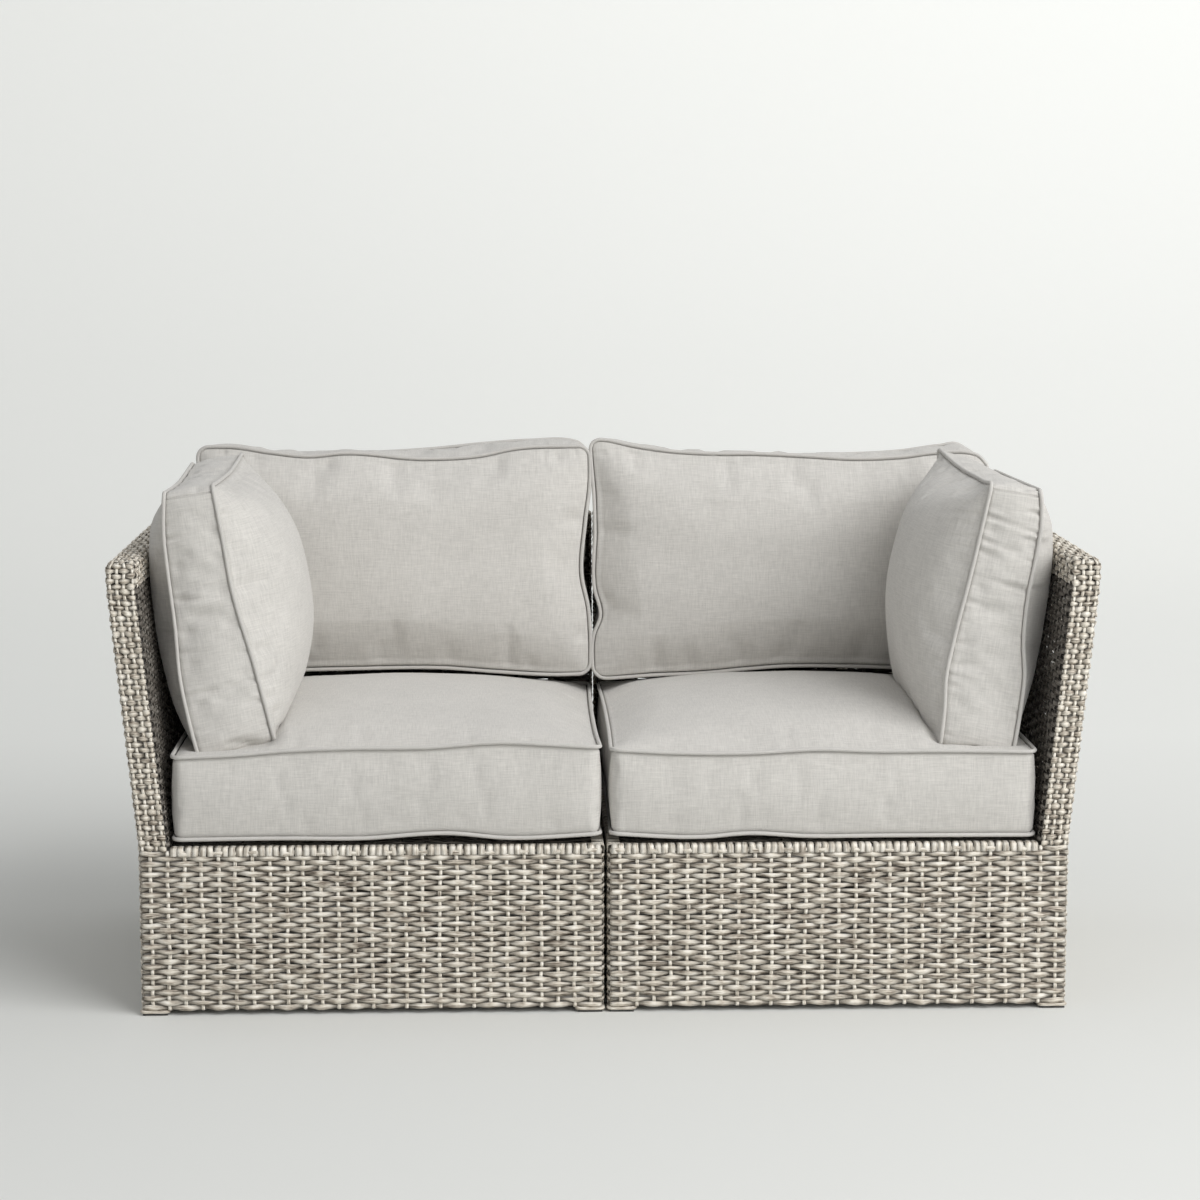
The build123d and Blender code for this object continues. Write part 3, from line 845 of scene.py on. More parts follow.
def rounded_loop(size: float, radius: float, step: float) -> Array:
    """Points round a square with rounded corners, anticlockwise.

    Args:
        size: Side of the square.
        radius: Radius of its corners.
        step: About how far apart the points are on the straight runs.

    Returns:
        The points.
    """
    arcs = []
    for i, ways in enumerate(((1, 1), (-1, 1), (-1, -1), (1, -1))):
        angle = np.linspace(0, QUARTER, 7) + i * QUARTER
        arcs.append((size / 2 - radius) * np.array(ways) + radius * np.c_[np.cos(angle), np.sin(angle)])
    loop = []
    for arc, following in zip(arcs, arcs[1:] + arcs[:1]):
        run = following[0] - arc[-1]
        count = max(2, int(np.linalg.norm(run) / step))
        loop += [arc, arc[-1] + np.linspace(0, 1, count + 1)[1:-1, None] * run]
    return np.concatenate(loop)


# Woven shell


@dataclass(frozen=True)
class Plan:
    """Sizes of one module, the same as in its solids."""

    outer_x: float = -0.725
    inner_x: float = -0.0025
    front_y: float = -0.381768
    back_y: float = 0.340732
    skirt: float = 0.0085
    base: float = 0.266
    rim: float = 0.670
    crest: float = 0.713
    wall: float = 0.049
    lean: float = 0.101576
    kink: float = 0.006
    corner: float = 0.008
    rim_radius: float = 0.014
    leg: float = 0.0445

    def shift(self, z: Any) -> Any:
        """How far the arms and back have leant out at a height."""
        rise = np.minimum(z, self.rim) - self.base
        return self.lean * 0.5 * (rise + np.sqrt(rise * rise + self.kink**2))

    @property
    def width(self) -> float:
        """One base, left to right and front to back."""
        return self.inner_x - self.outer_x

    def corner_run(self, ends: int = 2) -> float:
        """What rounded corners take off a length that is followed round them."""
        return ends * self.corner * (1 - math.pi / 4)

    def turn(self, u: Array, n: Array, length: Any, start: bool, end: bool) -> tuple[Array, Array]:
        """Bends a strip's ends half way round its corners.

        Args:
            u: Place along the strip as it was woven.
            n: Height out of the face.
            length: Length between the sharp corners at each point.
            start: Whether the strip turns a corner at its start.
            end: Whether it turns one at its end.

        Returns:
            (along, out): place between the sharp corners, and height out of the face.
        """
        r = self.corner
        bend = r * math.pi / 4
        low, high = bend if start else 0.0, u.max() - bend if end else u.max()
        flat_low, flat_high = r if start else 0.0, length - (r if end else 0.0)
        along = flat_low + np.clip((u - low) / (high - low), 0, 1) * (flat_high - flat_low)
        out = n.copy()
        for turns, past, way in ((start, low - u, -1), (end, u - high, 1)):
            if turns:
                angle = np.maximum(past, 0) / r
                along += way * (r + n) * np.sin(angle)
                out -= (r + n) * (1 - np.cos(angle))
        return along, out


PLAN = Plan()


@dataclass
class Panel:
    """One woven face: where it goes, and the values of the tree that weaves it."""

    place: Placing
    seed: float
    length: float
    height: float
    rows: int
    posts: int
    parity: float = 0.0
    row_width: float = 0.0088
    row_thickness: float = 0.0028
    post_width: float = 0.006
    post_thickness: float = 0.0026
    row_steps: int = 4
    post_steps: float = 3.4
    relief: float = 0.0024
    margin: float | None = None
    depth: float = 0.003
    uneven: float = 1.9
    shaded: bool = False

    def mesh(self, name: str) -> Mesh:
        """The strands in their place on the left module.

        Args:
            name: Name of the mesh.

        Returns:
            The mesh.
        """
        values = {key.replace("_", " ").title(): value for key, value in vars(self).items()}
        values["Row Steps"] = self.row_steps * (self.posts + 1)
        values["Post Steps"] = int(self.post_steps * max(self.rows, 3))
        values["Finish"] = (SHADED_WICKER if self.shaded else WICKER).material()
        if self.margin is None:
            values["Margin"] = self.length / self.posts / 2 * 1.35
        made = grow(name, TREES["weave"], values)
        set_points(made, self.place(*points_of(made).T))
        return made


@dataclass(frozen=True)
class Face:
    """An upright face of a module, by the way it starts, runs, looks and leans in plan."""

    start: tuple[float, float]
    run: tuple[int, int]
    out: tuple[int, int]
    lean: tuple[int, int] = (0, 0)
    cut: float = 0.0
    turns: tuple[bool, bool] = (True, True)

    def placing(self, low: float) -> Placing:
        """Places a panel on the face.

        Args:
            low: Height of the panel's lower edge.

        Returns:
            A function from panel coordinates to the module's place.
        """
        def place(u: Array, v: Array, n: Array) -> Array:
            """Panel coordinates on the face."""
            z = low + v
            shift = PLAN.shift(z)
            along, out = PLAN.turn(u, n, PLAN.width - self.cut + shift * any(self.lean), *self.turns)
            x, y = (start + run * along + way * out + lean * shift for start, run, way, lean
                    in zip(self.start, self.run, self.out, self.lean))
            return np.c_[x, y, z]

        return place


def wall_end(arm: bool, low: float) -> Placing:
    """Places a panel on the end of a wall, where it narrows under the rounded crest and bends over its top.

    Args:
        arm: Whether it is the arm's end and not the back's.
        low: Height of the panel's lower edge.

    Returns:
        A function from panel coordinates to the module's place.
    """
    p = PLAN

    def place(u: Array, v: Array, n: Array) -> Array:
        """Panel coordinates on the wall's end."""
        z = low + v
        a, out = p.turn(u, n, p.wall, True, True)
        top = p.crest - p.rim_radius
        round_off = p.rim_radius - np.sqrt(np.maximum(
            p.rim_radius**2 - np.clip(z - top, 0, p.rim_radius * 0.97)**2, 0))
        across = round_off + a * (p.wall - 2 * round_off) / p.wall
        out = out - np.maximum(z - (p.crest - p.corner * 0.8), 0)**2 / p.corner
        if arm:
            return np.c_[p.outer_x - p.shift(z) + across, p.front_y - out, z]
        return np.c_[p.inner_x + out, p.back_y - p.wall + p.shift(z) + across, z]

    return place


def over_crest(back: bool) -> Placing:
    """Places a panel over the crest of the arm or the back wall.

    Args:
        back: Whether it is the back wall's.

    Returns:
        A function from panel coordinates to the module's place.
    """
    p = PLAN
    upright = p.crest - p.rim_radius - p.rim
    arc = p.rim_radius * QUARTER
    flat = p.wall - 2 * p.rim_radius
    lean = p.shift(p.rim)
    length = p.width + lean

    def place(u: Array, v: Array, n: Array) -> Array:
        """Panel coordinates over the crest, mitred where the two walls meet."""
        rear = 2 * upright + 2 * arc + flat - v
        outside = v < rear
        mirrored = np.minimum(v, rear)
        turned = np.clip(mirrored - upright, 0, arc) / p.rim_radius
        across = p.rim_radius * (1 - np.cos(turned)) + np.maximum(mirrored - upright - arc, 0)
        mitre = (length - np.where(outside, across, p.wall - across)) / length
        a, out = p.turn(u, n, length, back, not back)
        if back:
            a = a * np.where(u > length / 2, mitre, 1)
        else:
            a = length - (length - a) * np.where(u < length / 2, mitre, 1)
        across = across - out * np.cos(turned)
        across = np.where(outside, across, p.wall - across)
        z = p.rim + np.minimum(mirrored, upright) + (p.rim_radius + out) * np.sin(turned)
        if back:
            return np.c_[p.inner_x - a, p.back_y + lean - across, z]
        return np.c_[p.outer_x - lean + across, p.back_y + lean - a, z]

    return place


def deck(u: Array, v: Array, n: Array) -> Array:
    """The seat deck, just under the top of the base."""
    return np.c_[PLAN.outer_x + PLAN.wall + u, PLAN.front_y + PLAN.corner + v, PLAN.base + n]


def binding(inner: bool) -> Placing:
    """Places the short strands that are wrapped over the top edge of the base.

    Args:
        inner: Whether they are on the inner side and not on the front.

    Returns:
        A function from panel coordinates to the module's place.
    """
    p, r, rise = PLAN, 0.004, 0.009

    def place(u: Array, v: Array, n: Array) -> Array:
        """Up the face, round the edge and back over the deck."""
        turned = np.clip((v - rise) / r, 0, QUARTER)
        inward = r - (r + n) * np.cos(turned) + np.maximum(v - rise - r * QUARTER, 0)
        z = p.base - r - rise + np.minimum(v, rise) + (r + n) * np.sin(turned)
        if inner:
            return np.c_[p.inner_x - inward, p.front_y + p.corner + u, z]
        return np.c_[p.outer_x + p.wall + u, p.front_y + inward, z]

    return place


@dataclass(frozen=True)
class WovenShell:
    """The woven skins of one module, node by node."""

    side: Side
    row_pitch: float = 0.0081667
    base_rows: int = 31
    wall_rows: int = 81
    end_rows: int = 55
    ring_inset: float = 0.0026

    def panels(self) -> dict[str, list[Panel]]:
        """Every woven face of the module.

        Returns:
            The panels of each node.
        """
        p, up = PLAN, self.row_pitch
        inner_x, wall_y = p.outer_x + p.wall, p.back_y - p.wall
        inset = p.width - p.wall
        whole = dict(length=p.width - p.corner_run(), posts=27)
        base = dict(whole, height=self.base_rows * up, rows=self.base_rows)
        tall = dict(whole, height=self.wall_rows * up, rows=self.wall_rows, row_steps=3)
        # The inner faces and the deck take the strand with painted shade.
        hidden = dict(row_steps=2, post_steps=2, shaded=True)
        inside = dict(hidden, length=inset - p.corner_run(1), height=p.rim - p.base, rows=49, posts=25)
        end = dict(length=p.wall - p.corner_run(), height=self.end_rows * up, rows=self.end_rows, posts=4,
                   parity=1.0, row_steps=5, margin=0.006)
        edge = dict(height=0.031, rows=0, post_width=0.0108, post_thickness=0.0016, relief=0.0, depth=0.0004,
                    post_steps=4, margin=0.006)
        over = 2 * (p.crest - p.rim_radius - p.rim) + math.pi * p.rim_radius + p.wall - 2 * p.rim_radius
        crest = dict(length=p.width - p.corner_run() + 0.035, height=over, rows=15, posts=28)
        end_low = p.skirt + self.base_rows * up
        front = Face((p.outer_x, p.front_y), (1, 0), (0, -1))
        inner = Face((p.inner_x, p.front_y), (0, 1), (1, 0))
        rear = Face((p.inner_x, p.back_y), (-1, 0), (0, 1), (0, 1))
        outer = Face((p.outer_x, p.back_y), (0, -1), (-1, 0), (-1, 1))
        arm_in = Face((inner_x, p.front_y), (0, 1), (1, 0), (-1, 0), p.wall, (True, False))
        back_in = Face((inner_x, wall_y), (1, 0), (0, -1), (-1, 1), p.wall, (False, True))
        return {
            "front_weave": [Panel(front.placing(p.skirt), 1.0, **base),
                            Panel(binding(False), 2.0, inset - 0.004, posts=59, **edge)],
            "inner_side_weave": [
                Panel(inner.placing(p.skirt), 3.0, parity=1.0, row_steps=3, post_steps=3, **base),
                Panel(binding(True), 4.0, inset - 0.012, posts=58, **edge)],
            "rear_weave": [Panel(rear.placing(p.skirt), 5.0, **tall)],
            "outer_side_weave": [Panel(outer.placing(p.skirt), 6.0, parity=1.0, **tall)],
            "arm_inner_weave": [Panel(arm_in.placing(p.base), 7.0, **inside)],
            "back_inner_weave": [Panel(back_in.placing(p.base), 8.0, parity=1.0, **inside)],
            "end_weave": [Panel(wall_end(True, end_low), 9.0, post_width=0.005, uneven=2.4, **end),
                          Panel(wall_end(False, end_low), 10.0, depth=0.002, **end)],
            "rim_weave": [Panel(over_crest(False), 11.0, **crest), Panel(over_crest(True), 12.0, **crest)],
            "deck_weave": [Panel(deck, 13.0, inset - 0.003, wall_y - p.front_y - p.corner, 50, 16,
                                 relief=0.0018, depth=0.0034, **hidden)],
        }

    def leg_rings(self) -> list[Mesh]:
        """The last turns of strand round each leg, below the skirt.

        Returns:
            A ring for each leg.
        """
        p, size, height = PLAN, PLAN.leg, 0.0058
        made = []
        for x in (p.outer_x, p.inner_x - size):
            for y in (p.front_y, p.back_y - size):
                loop = rounded_loop(size - 2 * self.ring_inset, p.corner - self.ring_inset, 0.0022)
                loop = np.c_[loop + (x + size / 2, y + size / 2), np.full(len(loop), height)]
                made.append(covered_cord("ring", loop, 0.0042, 8, 0.62, 0.05, 40 + 9 * x + y, WICKER))
        return made

    def build(self) -> None:
        """Makes every woven piece of the module."""
        for node, panels in self.panels().items():
            self.finish(node, [panel.mesh(f"{node}_{i}") for i, panel in enumerate(panels)])
        self.finish("leg_wraps", self.leg_rings())

    def finish(self, node: str, meshes: list[Mesh]) -> None:
        """Joins meshes into the piece that stands for a node.

        Args:
            node: Name of the node without its side.
            meshes: What it is made of, on the left module.
        """
        mesh = join_meshes(meshes)
        piece = attach(f"{self.side.value}_{node}_strands", mesh)
        if self.side is Side.RIGHT:
            set_points(mesh, points_of(mesh) * (-1, 1, 1))
            mesh.flip_normals()
        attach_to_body(piece, f"{self.side.value}_module")
        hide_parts(f"{self.side.value}_{node}")
        log.info("%s: %d faces", piece.name, len(mesh.polygons))


# Cushions


@dataclass(frozen=True)
class Wave:
    """How one side of a seam strays from its straight line, in millimetres along the side."""

    inward: Stops = (0, 0, 1, 0)
    outward: Stops = (0, 0, 1, 0)


@dataclass(frozen=True)
class Fold:
    """A dent that starts at a seam and fades away from it."""

    place: float
    width: float
    reach: float
    depth: float
    slant: float

    def depth_at(self, along: Array, gap: Array) -> Array:
        """How deep the dent is.

        Args:
            along: Place along the seam.
            gap: Distance from it.

        Returns:
            The depth.
        """
        away = (along - self.place - self.slant * gap) / self.width
        near = np.maximum(gap, 0)
        lips = np.exp(-away * away) - 0.45 * np.exp(-(np.abs(away) - 1.9)**2)
        return self.depth * lips * np.exp(-(near / self.reach)**1.6) * near / (near + 0.0008)


@dataclass
class Cushion:
    """A box cushion in its own axes: X along, Y up the panels, Z from rear to front panel."""

    name: str
    side: Side
    origin: Vector
    axes: tuple[Vector, Vector, Vector]
    width: float
    height: float
    boxing: float
    low_crown: float
    high_crown: float
    swells: tuple[float, float, float, float]
    flat_edge: Edge
    zip_length: float
    zip_level: float = 0.0
    taper: float = 0.0
    corner: float = 0.014
    groove: float = 0.0024
    front: Sequence[Wave] = (Wave(),) * 4
    rear: Sequence[Wave] = (Wave(),) * 4
    fill: float = 0.75
    cell: float = 0.0044
    coarser: int = 2
    puckers: float = 1.0
    folds: float = 1.0
    seed: int = 1
    steepness: tuple[float, float] = (3.2, 0.46)
    peak: float = 0.0
    slack: float = 0.01
    give: float = 0.01
    seams: Sequence[tuple[Edge, float]] = ()
    marks: Sequence[tuple] = ()
    berth: tuple[float, float, float, float] = (0.03, 0.008, 0.024, 0.0075)

    def __post_init__(self) -> None:
        """Counts the cells and numbers the points."""
        step = 2**self.coarser
        self.nx, self.ny = (step * round(size / self.cell / step) for size in (self.width, self.height))
        self.nb = step * round(self.boxing / self.cell / step / 1.25)
        self.rng = np.random.default_rng(self.seed)
        self.stem = f"{self.side.value}_{self.name}"
        self.place, self.frame = np.array(self.origin), np.array([list(axis) for axis in self.axes])
        self.a, self.b = np.meshgrid(self.spread(self.nx), self.spread(self.ny), indexing="ij")
        panel, around = self.a.size, 2 * (self.nx + self.ny)
        front = np.arange(panel).reshape(self.a.shape)
        self.panels = ((1, front), (-1, front + panel))
        boxing = 2 * panel + np.arange((self.nb - 1) * around).reshape(self.nb - 1, around)
        self.rings = np.vstack([border(front + panel), boxing, border(front)])
        counts = (self.nx, self.ny, self.nx, self.ny)
        self.sides = np.concatenate([np.full(count, i) for i, count in enumerate(counts)])
        wide, tall = (self.spread(self.nx) + 1) / 2, (self.spread(self.ny) + 1) / 2
        self.shares = np.concatenate([wide[:-1], tall[:-1], wide[:0:-1], tall[:0:-1]])

    def quads(self, front: Array, rear: Array, rings: Array) -> Array:
        """Faces of the panels and the boxing, outwards before the side is turned over."""
        return np.vstack([grid(front), grid(rear)[:, ::-1], band(rings)])

    def spread(self, count: int) -> Array:
        """Places from -1 to 1 that crowd towards both ends."""
        s = np.linspace(-1, 1, count + 1)
        return 0.45 * s + 0.55 * np.sin(s * QUARTER)

    def panel(self, end: int, plump: float) -> Array:
        """The points of one panel.

        Args:
            end: 1 for the front panel and -1 for the rear one.
            plump: Share of the full crown.

        Returns:
            Places, one for each point of the panel's grid.
        """
        a, b, r = self.a, self.b, self.corner
        flat_x, flat_y = self.width / 2 - r, self.height / 2 - r
        x, y = a * (self.width / 2), b * (self.height / 2)
        # The corner square is drawn onto a quarter circle
        inside = (np.abs(x) > flat_x) & (np.abs(y) > flat_y)
        p, q = (np.abs(x[inside]) - flat_x) / r, (np.abs(y[inside]) - flat_y) / r
        x[inside] = np.sign(x[inside]) * (flat_x + r * p * np.sqrt(np.maximum(1 - q * q / 2, 0)))
        y[inside] = np.sign(y[inside]) * (flat_y + r * q * np.sqrt(np.maximum(1 - p * p / 2, 0)))
        z = np.full_like(a, end * self.boxing / 2)
        for edge, wave in zip(Edge, self.front if end > 0 else self.rear):
            near = np.clip(edge.sign * (a if edge.upright else b), 0, 1)
            share = ((b if edge.upright else a) + 1) / 2
            drawn = x if edge.upright else y
            drawn -= edge.sign * even(wave.inward, share) * MM * near**1.5
            z += end * even(wave.outward, share) * MM * near**3
        z -= end * y * math.tan(math.radians(self.taper) / 2)
        power, root = self.steepness
        up = b - self.peak * (1 - b * b)
        rise = ((1 - np.abs(a)**power) * (1 - np.abs(up)**power))**root
        z += end * (self.high_crown if end > 0 else self.low_crown) * plump * rise
        return np.stack([x, y, z], -1)

    def shape(self, plump: float) -> Array:
        """Every point of the cushion before its small creases.

        Args:
            plump: Share of the full crown and swell.

        Returns:
            Places of all points.
        """
        points = np.zeros((self.rings.max() + 1, 3))
        for end, ids in self.panels:
            points[ids] = self.panel(end, plump)
        low, high = points[self.rings[0]], points[self.rings[-1]]
        outward = self.outward(points)
        fade = np.clip(np.minimum(self.shares, 1 - self.shares) / 0.06, 0, 1)
        swell = np.array(self.swells)[self.sides] * MM * fade**0.5 * plump
        for end, ring in ((-1, self.rings[0]), (1, self.rings[-1])):
            points[ring] -= outward * self.groove + np.array([0, 0, end * self.groove * 0.75])
        flat = self.sides == self.flat_edge.value
        for k in range(1, self.nb):
            share = k / self.nb
            level = np.where(flat, share**3, share)[:, None] * (1, 1, 0) + np.array((0, 0, share))
            bow = swell * math.sin(math.pi * share)**0.7
            points[self.rings[k]] = low + (high - low) * level + outward * bow[:, None]
        return points

    def outward(self, points: Array) -> Array:
        """Direction out of the boxing at each place round it."""
        middle = (points[self.rings[0]] + points[self.rings[-1]]) / 2
        run = np.roll(middle, -2, 0) - np.roll(middle, 2, 0)
        return np.c_[run[:, 1], -run[:, 0], np.zeros(len(run))] / np.linalg.norm(run[:, :2], axis=1)[:, None]

    def place_round(self, edge: Edge, share: float) -> int:
        """Which place round the boxing lies at a share along a side."""
        return int(np.argmin(np.abs(self.shares - share) + 9 * (self.sides != edge.value)))

    def cloth_places(self, points: Array) -> Array:
        """Where each point lies on its own piece of cloth, in metres.

        Args:
            points: Places in the cushion's axes.

        Returns:
            Places on the cloth.
        """
        places = points.copy()
        middle = points[self.rings[self.nb // 2]]
        run = np.cumsum(np.r_[0, np.linalg.norm(np.diff(middle, axis=0), axis=1)])
        for ring in self.rings[1:-1]:
            places[ring] = np.c_[run, points[ring, 2], np.full(len(run), 0.5)]
        return places + self.rng.uniform(0, 9, 3)

    def plumped(self) -> Array:
        """The cushion blown up as cloth on its seams, coarse first and then read onto the full grid.

        Returns:
            Places of all points.
        """
        start = self.shape(0.86)
        every = 2**self.coarser
        (_, front), (_, rear) = self.panels
        coarse = front[::every, ::every], rear[::every, ::every], self.rings[::every, ::every]
        keep = np.unique(np.concatenate([ids.ravel() for ids in coarse]))
        renumber = np.full(len(start), -1)
        renumber[keep] = np.arange(len(keep))
        mesh = make_mesh(self.name + "_sewn", start[keep], self.quads(*(renumber[ids] for ids in coarse)))
        loops = renumber[coarse[2]]
        flat = self.sides[::every] == self.flat_edge.value
        pinned = np.unique(np.concatenate([loops[0], loops[-1], loops[:, flat].ravel()]))
        moved = inflate(mesh, pinned.tolist(), self.slack) - start[keep]
        reach = np.linalg.norm(moved, axis=1)[:, None]
        sparse = np.zeros_like(start)
        sparse[keep] = moved * np.minimum(1, self.give / np.maximum(reach, 1e-9))
        result = start.copy()
        for ids, few in ((front, coarse[0]), (rear, coarse[1])):
            result[ids] += finer(sparse[few], self.coarser)
        wrapped = np.concatenate([sparse[coarse[2]], sparse[coarse[2]][:, :1]], 1)
        result[self.rings[1:-1]] += finer(wrapped, self.coarser)[1:-1, :-1]
        return result

    def crease(self, points: Array) -> Array:
        """Adds the small puckers that run off the seams, and slow folds.

        Args:
            points: The plumped cushion, changed in place.

        Returns:
            The creased cushion.
        """
        x, y = self.a * self.width / 2, self.b * self.height / 2
        outward = self.outward(points)
        shares = np.arange(1, self.nb)[:, None] / self.nb
        for edge in Edge:
            if edge is self.flat_edge:
                continue
            length, across = (self.height, self.width) if edge.upright else (self.width, self.height)
            along = (y if edge.upright else x) + length / 2
            gap = across / 2 - edge.sign * (x if edge.upright else y)
            here = self.sides == edge.value
            run = self.shares[here] * length
            for end, ids in self.panels:
                for fold in self.fold_list(edge, end, length):
                    points[ids, 2] -= end * fold.depth_at(along, gap) * 0.55
                    dent = fold.depth_at(run[None, :], self.boxing * (shares if end < 0 else 1 - shares))
                    points[self.rings[1:-1][:, here]] -= outward[here][None] * dent[..., None]
        for end, ids in self.panels:
            inner = 1 - np.maximum(np.abs(self.a), np.abs(self.b))**3
            points[ids, 2] += end * self.undulation(x, y) * inner
        for edge, share in self.seams:
            place = self.place_round(edge, share)
            for step, deep in ((-1, 0.35), (0, 1.0), (1, 0.35)):
                points[self.rings[1:-1, place + step]] -= outward[place] * 0.003 * deep
        return points

    def fold_list(self, edge: Edge, end: int, length: float) -> list[Fold]:
        """Puckers and slow folds at uneven places along one seam.

        Args:
            edge: Side of the panel.
            end: 1 for the front seam and -1 for the rear one.
            length: Length of the side.

        Returns:
            The dents, the cushion's own marks among them.
        """
        draw = self.rng.uniform
        made = [Fold(share * length, *shape) for side, where, share, *shape in self.marks
                if side is edge and where == end]
        place = draw(0.01, 0.03)
        while place < length - 0.012:
            strong = self.rng.random() < 0.25
            made.append(Fold(place, draw(0.0032, 0.0048), draw(0.006, 0.011) * (2.4 if strong else 1),
                             draw(0.0008, 0.0015) * (1.8 if strong else 1) * self.puckers, draw(-0.25, 0.25)))
            place += draw(0.016, 0.048)
        place = draw(0.03, 0.09)
        while place < length - 0.03:
            made.append(Fold(place, draw(0.012, 0.022), draw(0.05, 0.09), draw(0.0006, 0.0016) * self.folds,
                             draw(-0.2, 0.2)))
            place += draw(0.06, 0.15)
        return made

    def undulation(self, x: Array, y: Array) -> Array:
        """Slow unevenness of the filling.

        Args:
            x: Places along the panel.
            y: Places up the panel.

        Returns:
            Height at each place.
        """
        total, draw = np.zeros_like(x), self.rng.uniform
        for _ in range(9):
            angle, wave, phase, size = draw(0, math.pi), draw(0.11, 0.34), draw(0, math.tau), draw(0.2, 0.8)
            total += size * MM * np.sin(math.tau * (x * math.cos(angle) + y * math.sin(angle)) / wave + phase)
        return total * self.folds

    def to_world(self, points: Array) -> Array:
        """Carries points from the cushion's axes to their place."""
        return (self.place + points @ self.frame) * (self.side.sign, 1, 1)

    def from_world(self, world: Array) -> Array:
        """Carries places back to the cushion's axes."""
        return (world * (self.side.sign, 1, 1) - self.place) @ self.frame.T

    def settle_on(self, world: Array, others: Sequence["Cushion"]) -> Array:
        """Presses the front panel down where other cushions stand on it.

        Args:
            world: Places of all points.
            others: Cushions that stand on this one.

        Returns:
            The pressed places.
        """
        blend, tallest, soft, firmness = 0.04, 0.08, 0.03, 0.45
        for other in others:
            local = other.from_world(world)
            ahead, beside, fade, sink = other.berth
            reach_z = other.boxing / 2 + math.tan(math.radians(other.taper) / 2) * other.height / 2 + beside
            inside_x = np.clip((other.width / 2 + ahead - np.abs(local[:, 0])) / blend, 0, 1)
            inside_z = np.clip((reach_z - np.abs(local[:, 2])) / fade, 0, 1)
            over = local[:, 1] - (-other.height / 2 - sink)
            yielded = over * (1 - firmness * np.clip(over / soft, 0, 1))
            both = inside_x**2 * (3 - 2 * inside_x) * inside_z**2 * (3 - 2 * inside_z)
            local[:, 1] -= np.where((over > 0) & (over < tallest), yielded, 0) * both
            world = other.to_world(local)
        return world

    def rest_on_frame(self, world: Array) -> Array:
        """Flattens a seat cushion on its deck, and a side cushion against the arm wall.

        Args:
            world: Places of all points.

        Returns:
            The flattened places.
        """
        world = world.copy()
        if self.name == "seat":
            world[:, 2] = np.maximum(world[:, 2], PLAN.base + 0.0016)
        if self.name == "side":
            wall, soft = PLAN.outer_x + PLAN.wall - PLAN.shift(world[:, 2]) + 0.001, 0.006
            deep = wall - self.side.sign * world[:, 0]
            push = np.where(deep > soft, deep, np.maximum(deep + soft, 0)**2 / (4 * soft))
            world[:, 0] += self.side.sign * push
        return world

    def sew(self, what: str, meshes: list[Mesh], slot: str, *nodes: str) -> Object:
        """Makes a piece that moves with the cushion.

        Args:
            what: What the piece is, for its name.
            meshes: What it is made of.
            slot: Not used.
            *nodes: The cushion's nodes that it stands for.

        Returns:
            The piece.
        """
        piece = attach(f"{self.stem}_{what}", join_meshes(meshes))
        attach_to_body(piece, self.stem + "_cushion")
        if nodes:
            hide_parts(*(f"{self.stem}_{node}" for node in nodes))
        log.info("%s: %d faces", piece.name, len(piece.data.polygons))
        return piece

    def build(self, standing: Sequence["Cushion"] = ()) -> None:
        """Makes the cushion and what is sewn to it.

        Args:
            standing: Cushions that stand on this one.
        """
        world = self.rest_on_frame(self.settle_on(self.to_world(self.crease(self.plumped())), standing))
        local = self.from_world(world)
        quads = self.quads(self.panels[0][1], self.panels[1][1], self.rings)[:, ::self.side.sign]
        mesh = make_mesh(self.stem + "_cushion", world, quads, self.cloth_places(local))
        mesh.materials.append(LINEN.material())
        self.sew("cushion", [mesh], "cushion_fabric", "cover", "fill")
        self.piping(local)
        self.zipper()
        if self.seams:
            self.join_seams(local)

    def piping(self, local: Array) -> None:
        """The covered cord along both seams.

        Args:
            local: The cushion's points in its own axes.
        """
        outward, groove = self.outward(local), self.groove
        meshes = []
        for end, ring in ((-1, self.rings[0]), (1, self.rings[-1])):
            proud = np.array([0, 0, end * (groove * 0.75 + 0.0006)])
            loop = self.to_world(even_spaced(local[ring] + outward * (groove + 0.0021) + proud, 0.0045))
            seed = float(self.seed * 3 + end)
            meshes.append(covered_cord(self.stem + "_welt", loop, 0.0032, 9, 1.0, 0.06, seed, WELT))
        self.sew("welts", meshes, "piping_fabric", "piping")

    def join_seams(self, local: Array) -> None:
        """Plain seams across the boxing, each with its row of stitches.

        Args:
            local: The cushion's points in its own axes.
        """
        meshes = []
        for edge, share in self.seams:
            place = self.place_round(edge, share)
            column = local[self.rings[:, place + 1]] + self.outward(local)[place] * 0.0004
            line = self.to_world(even_spaced(column[1:-1], 0.003, closed=False))
            meshes.append(bars(self.stem + "_stitches", line, 0.0036, 0.0031, 0.0006, WELT))
        self.sew("boxing_stitches", meshes, "piping_fabric")

    def on_flat_side(self, along: Any, across: Any, out: Any) -> Array:
        """Places on the flat side of the boxing, in the cushion's axes."""
        along, across, out = np.broadcast_arrays(along, across, out)
        level = across + self.zip_level
        if self.flat_edge is Edge.TOP:
            return np.stack([-along, self.height / 2 + out, level], -1)
        if self.flat_edge is Edge.BOTTOM:
            return np.stack([along, -self.height / 2 - out, level], -1)
        return np.stack([self.width / 2 + out, along, level], -1)

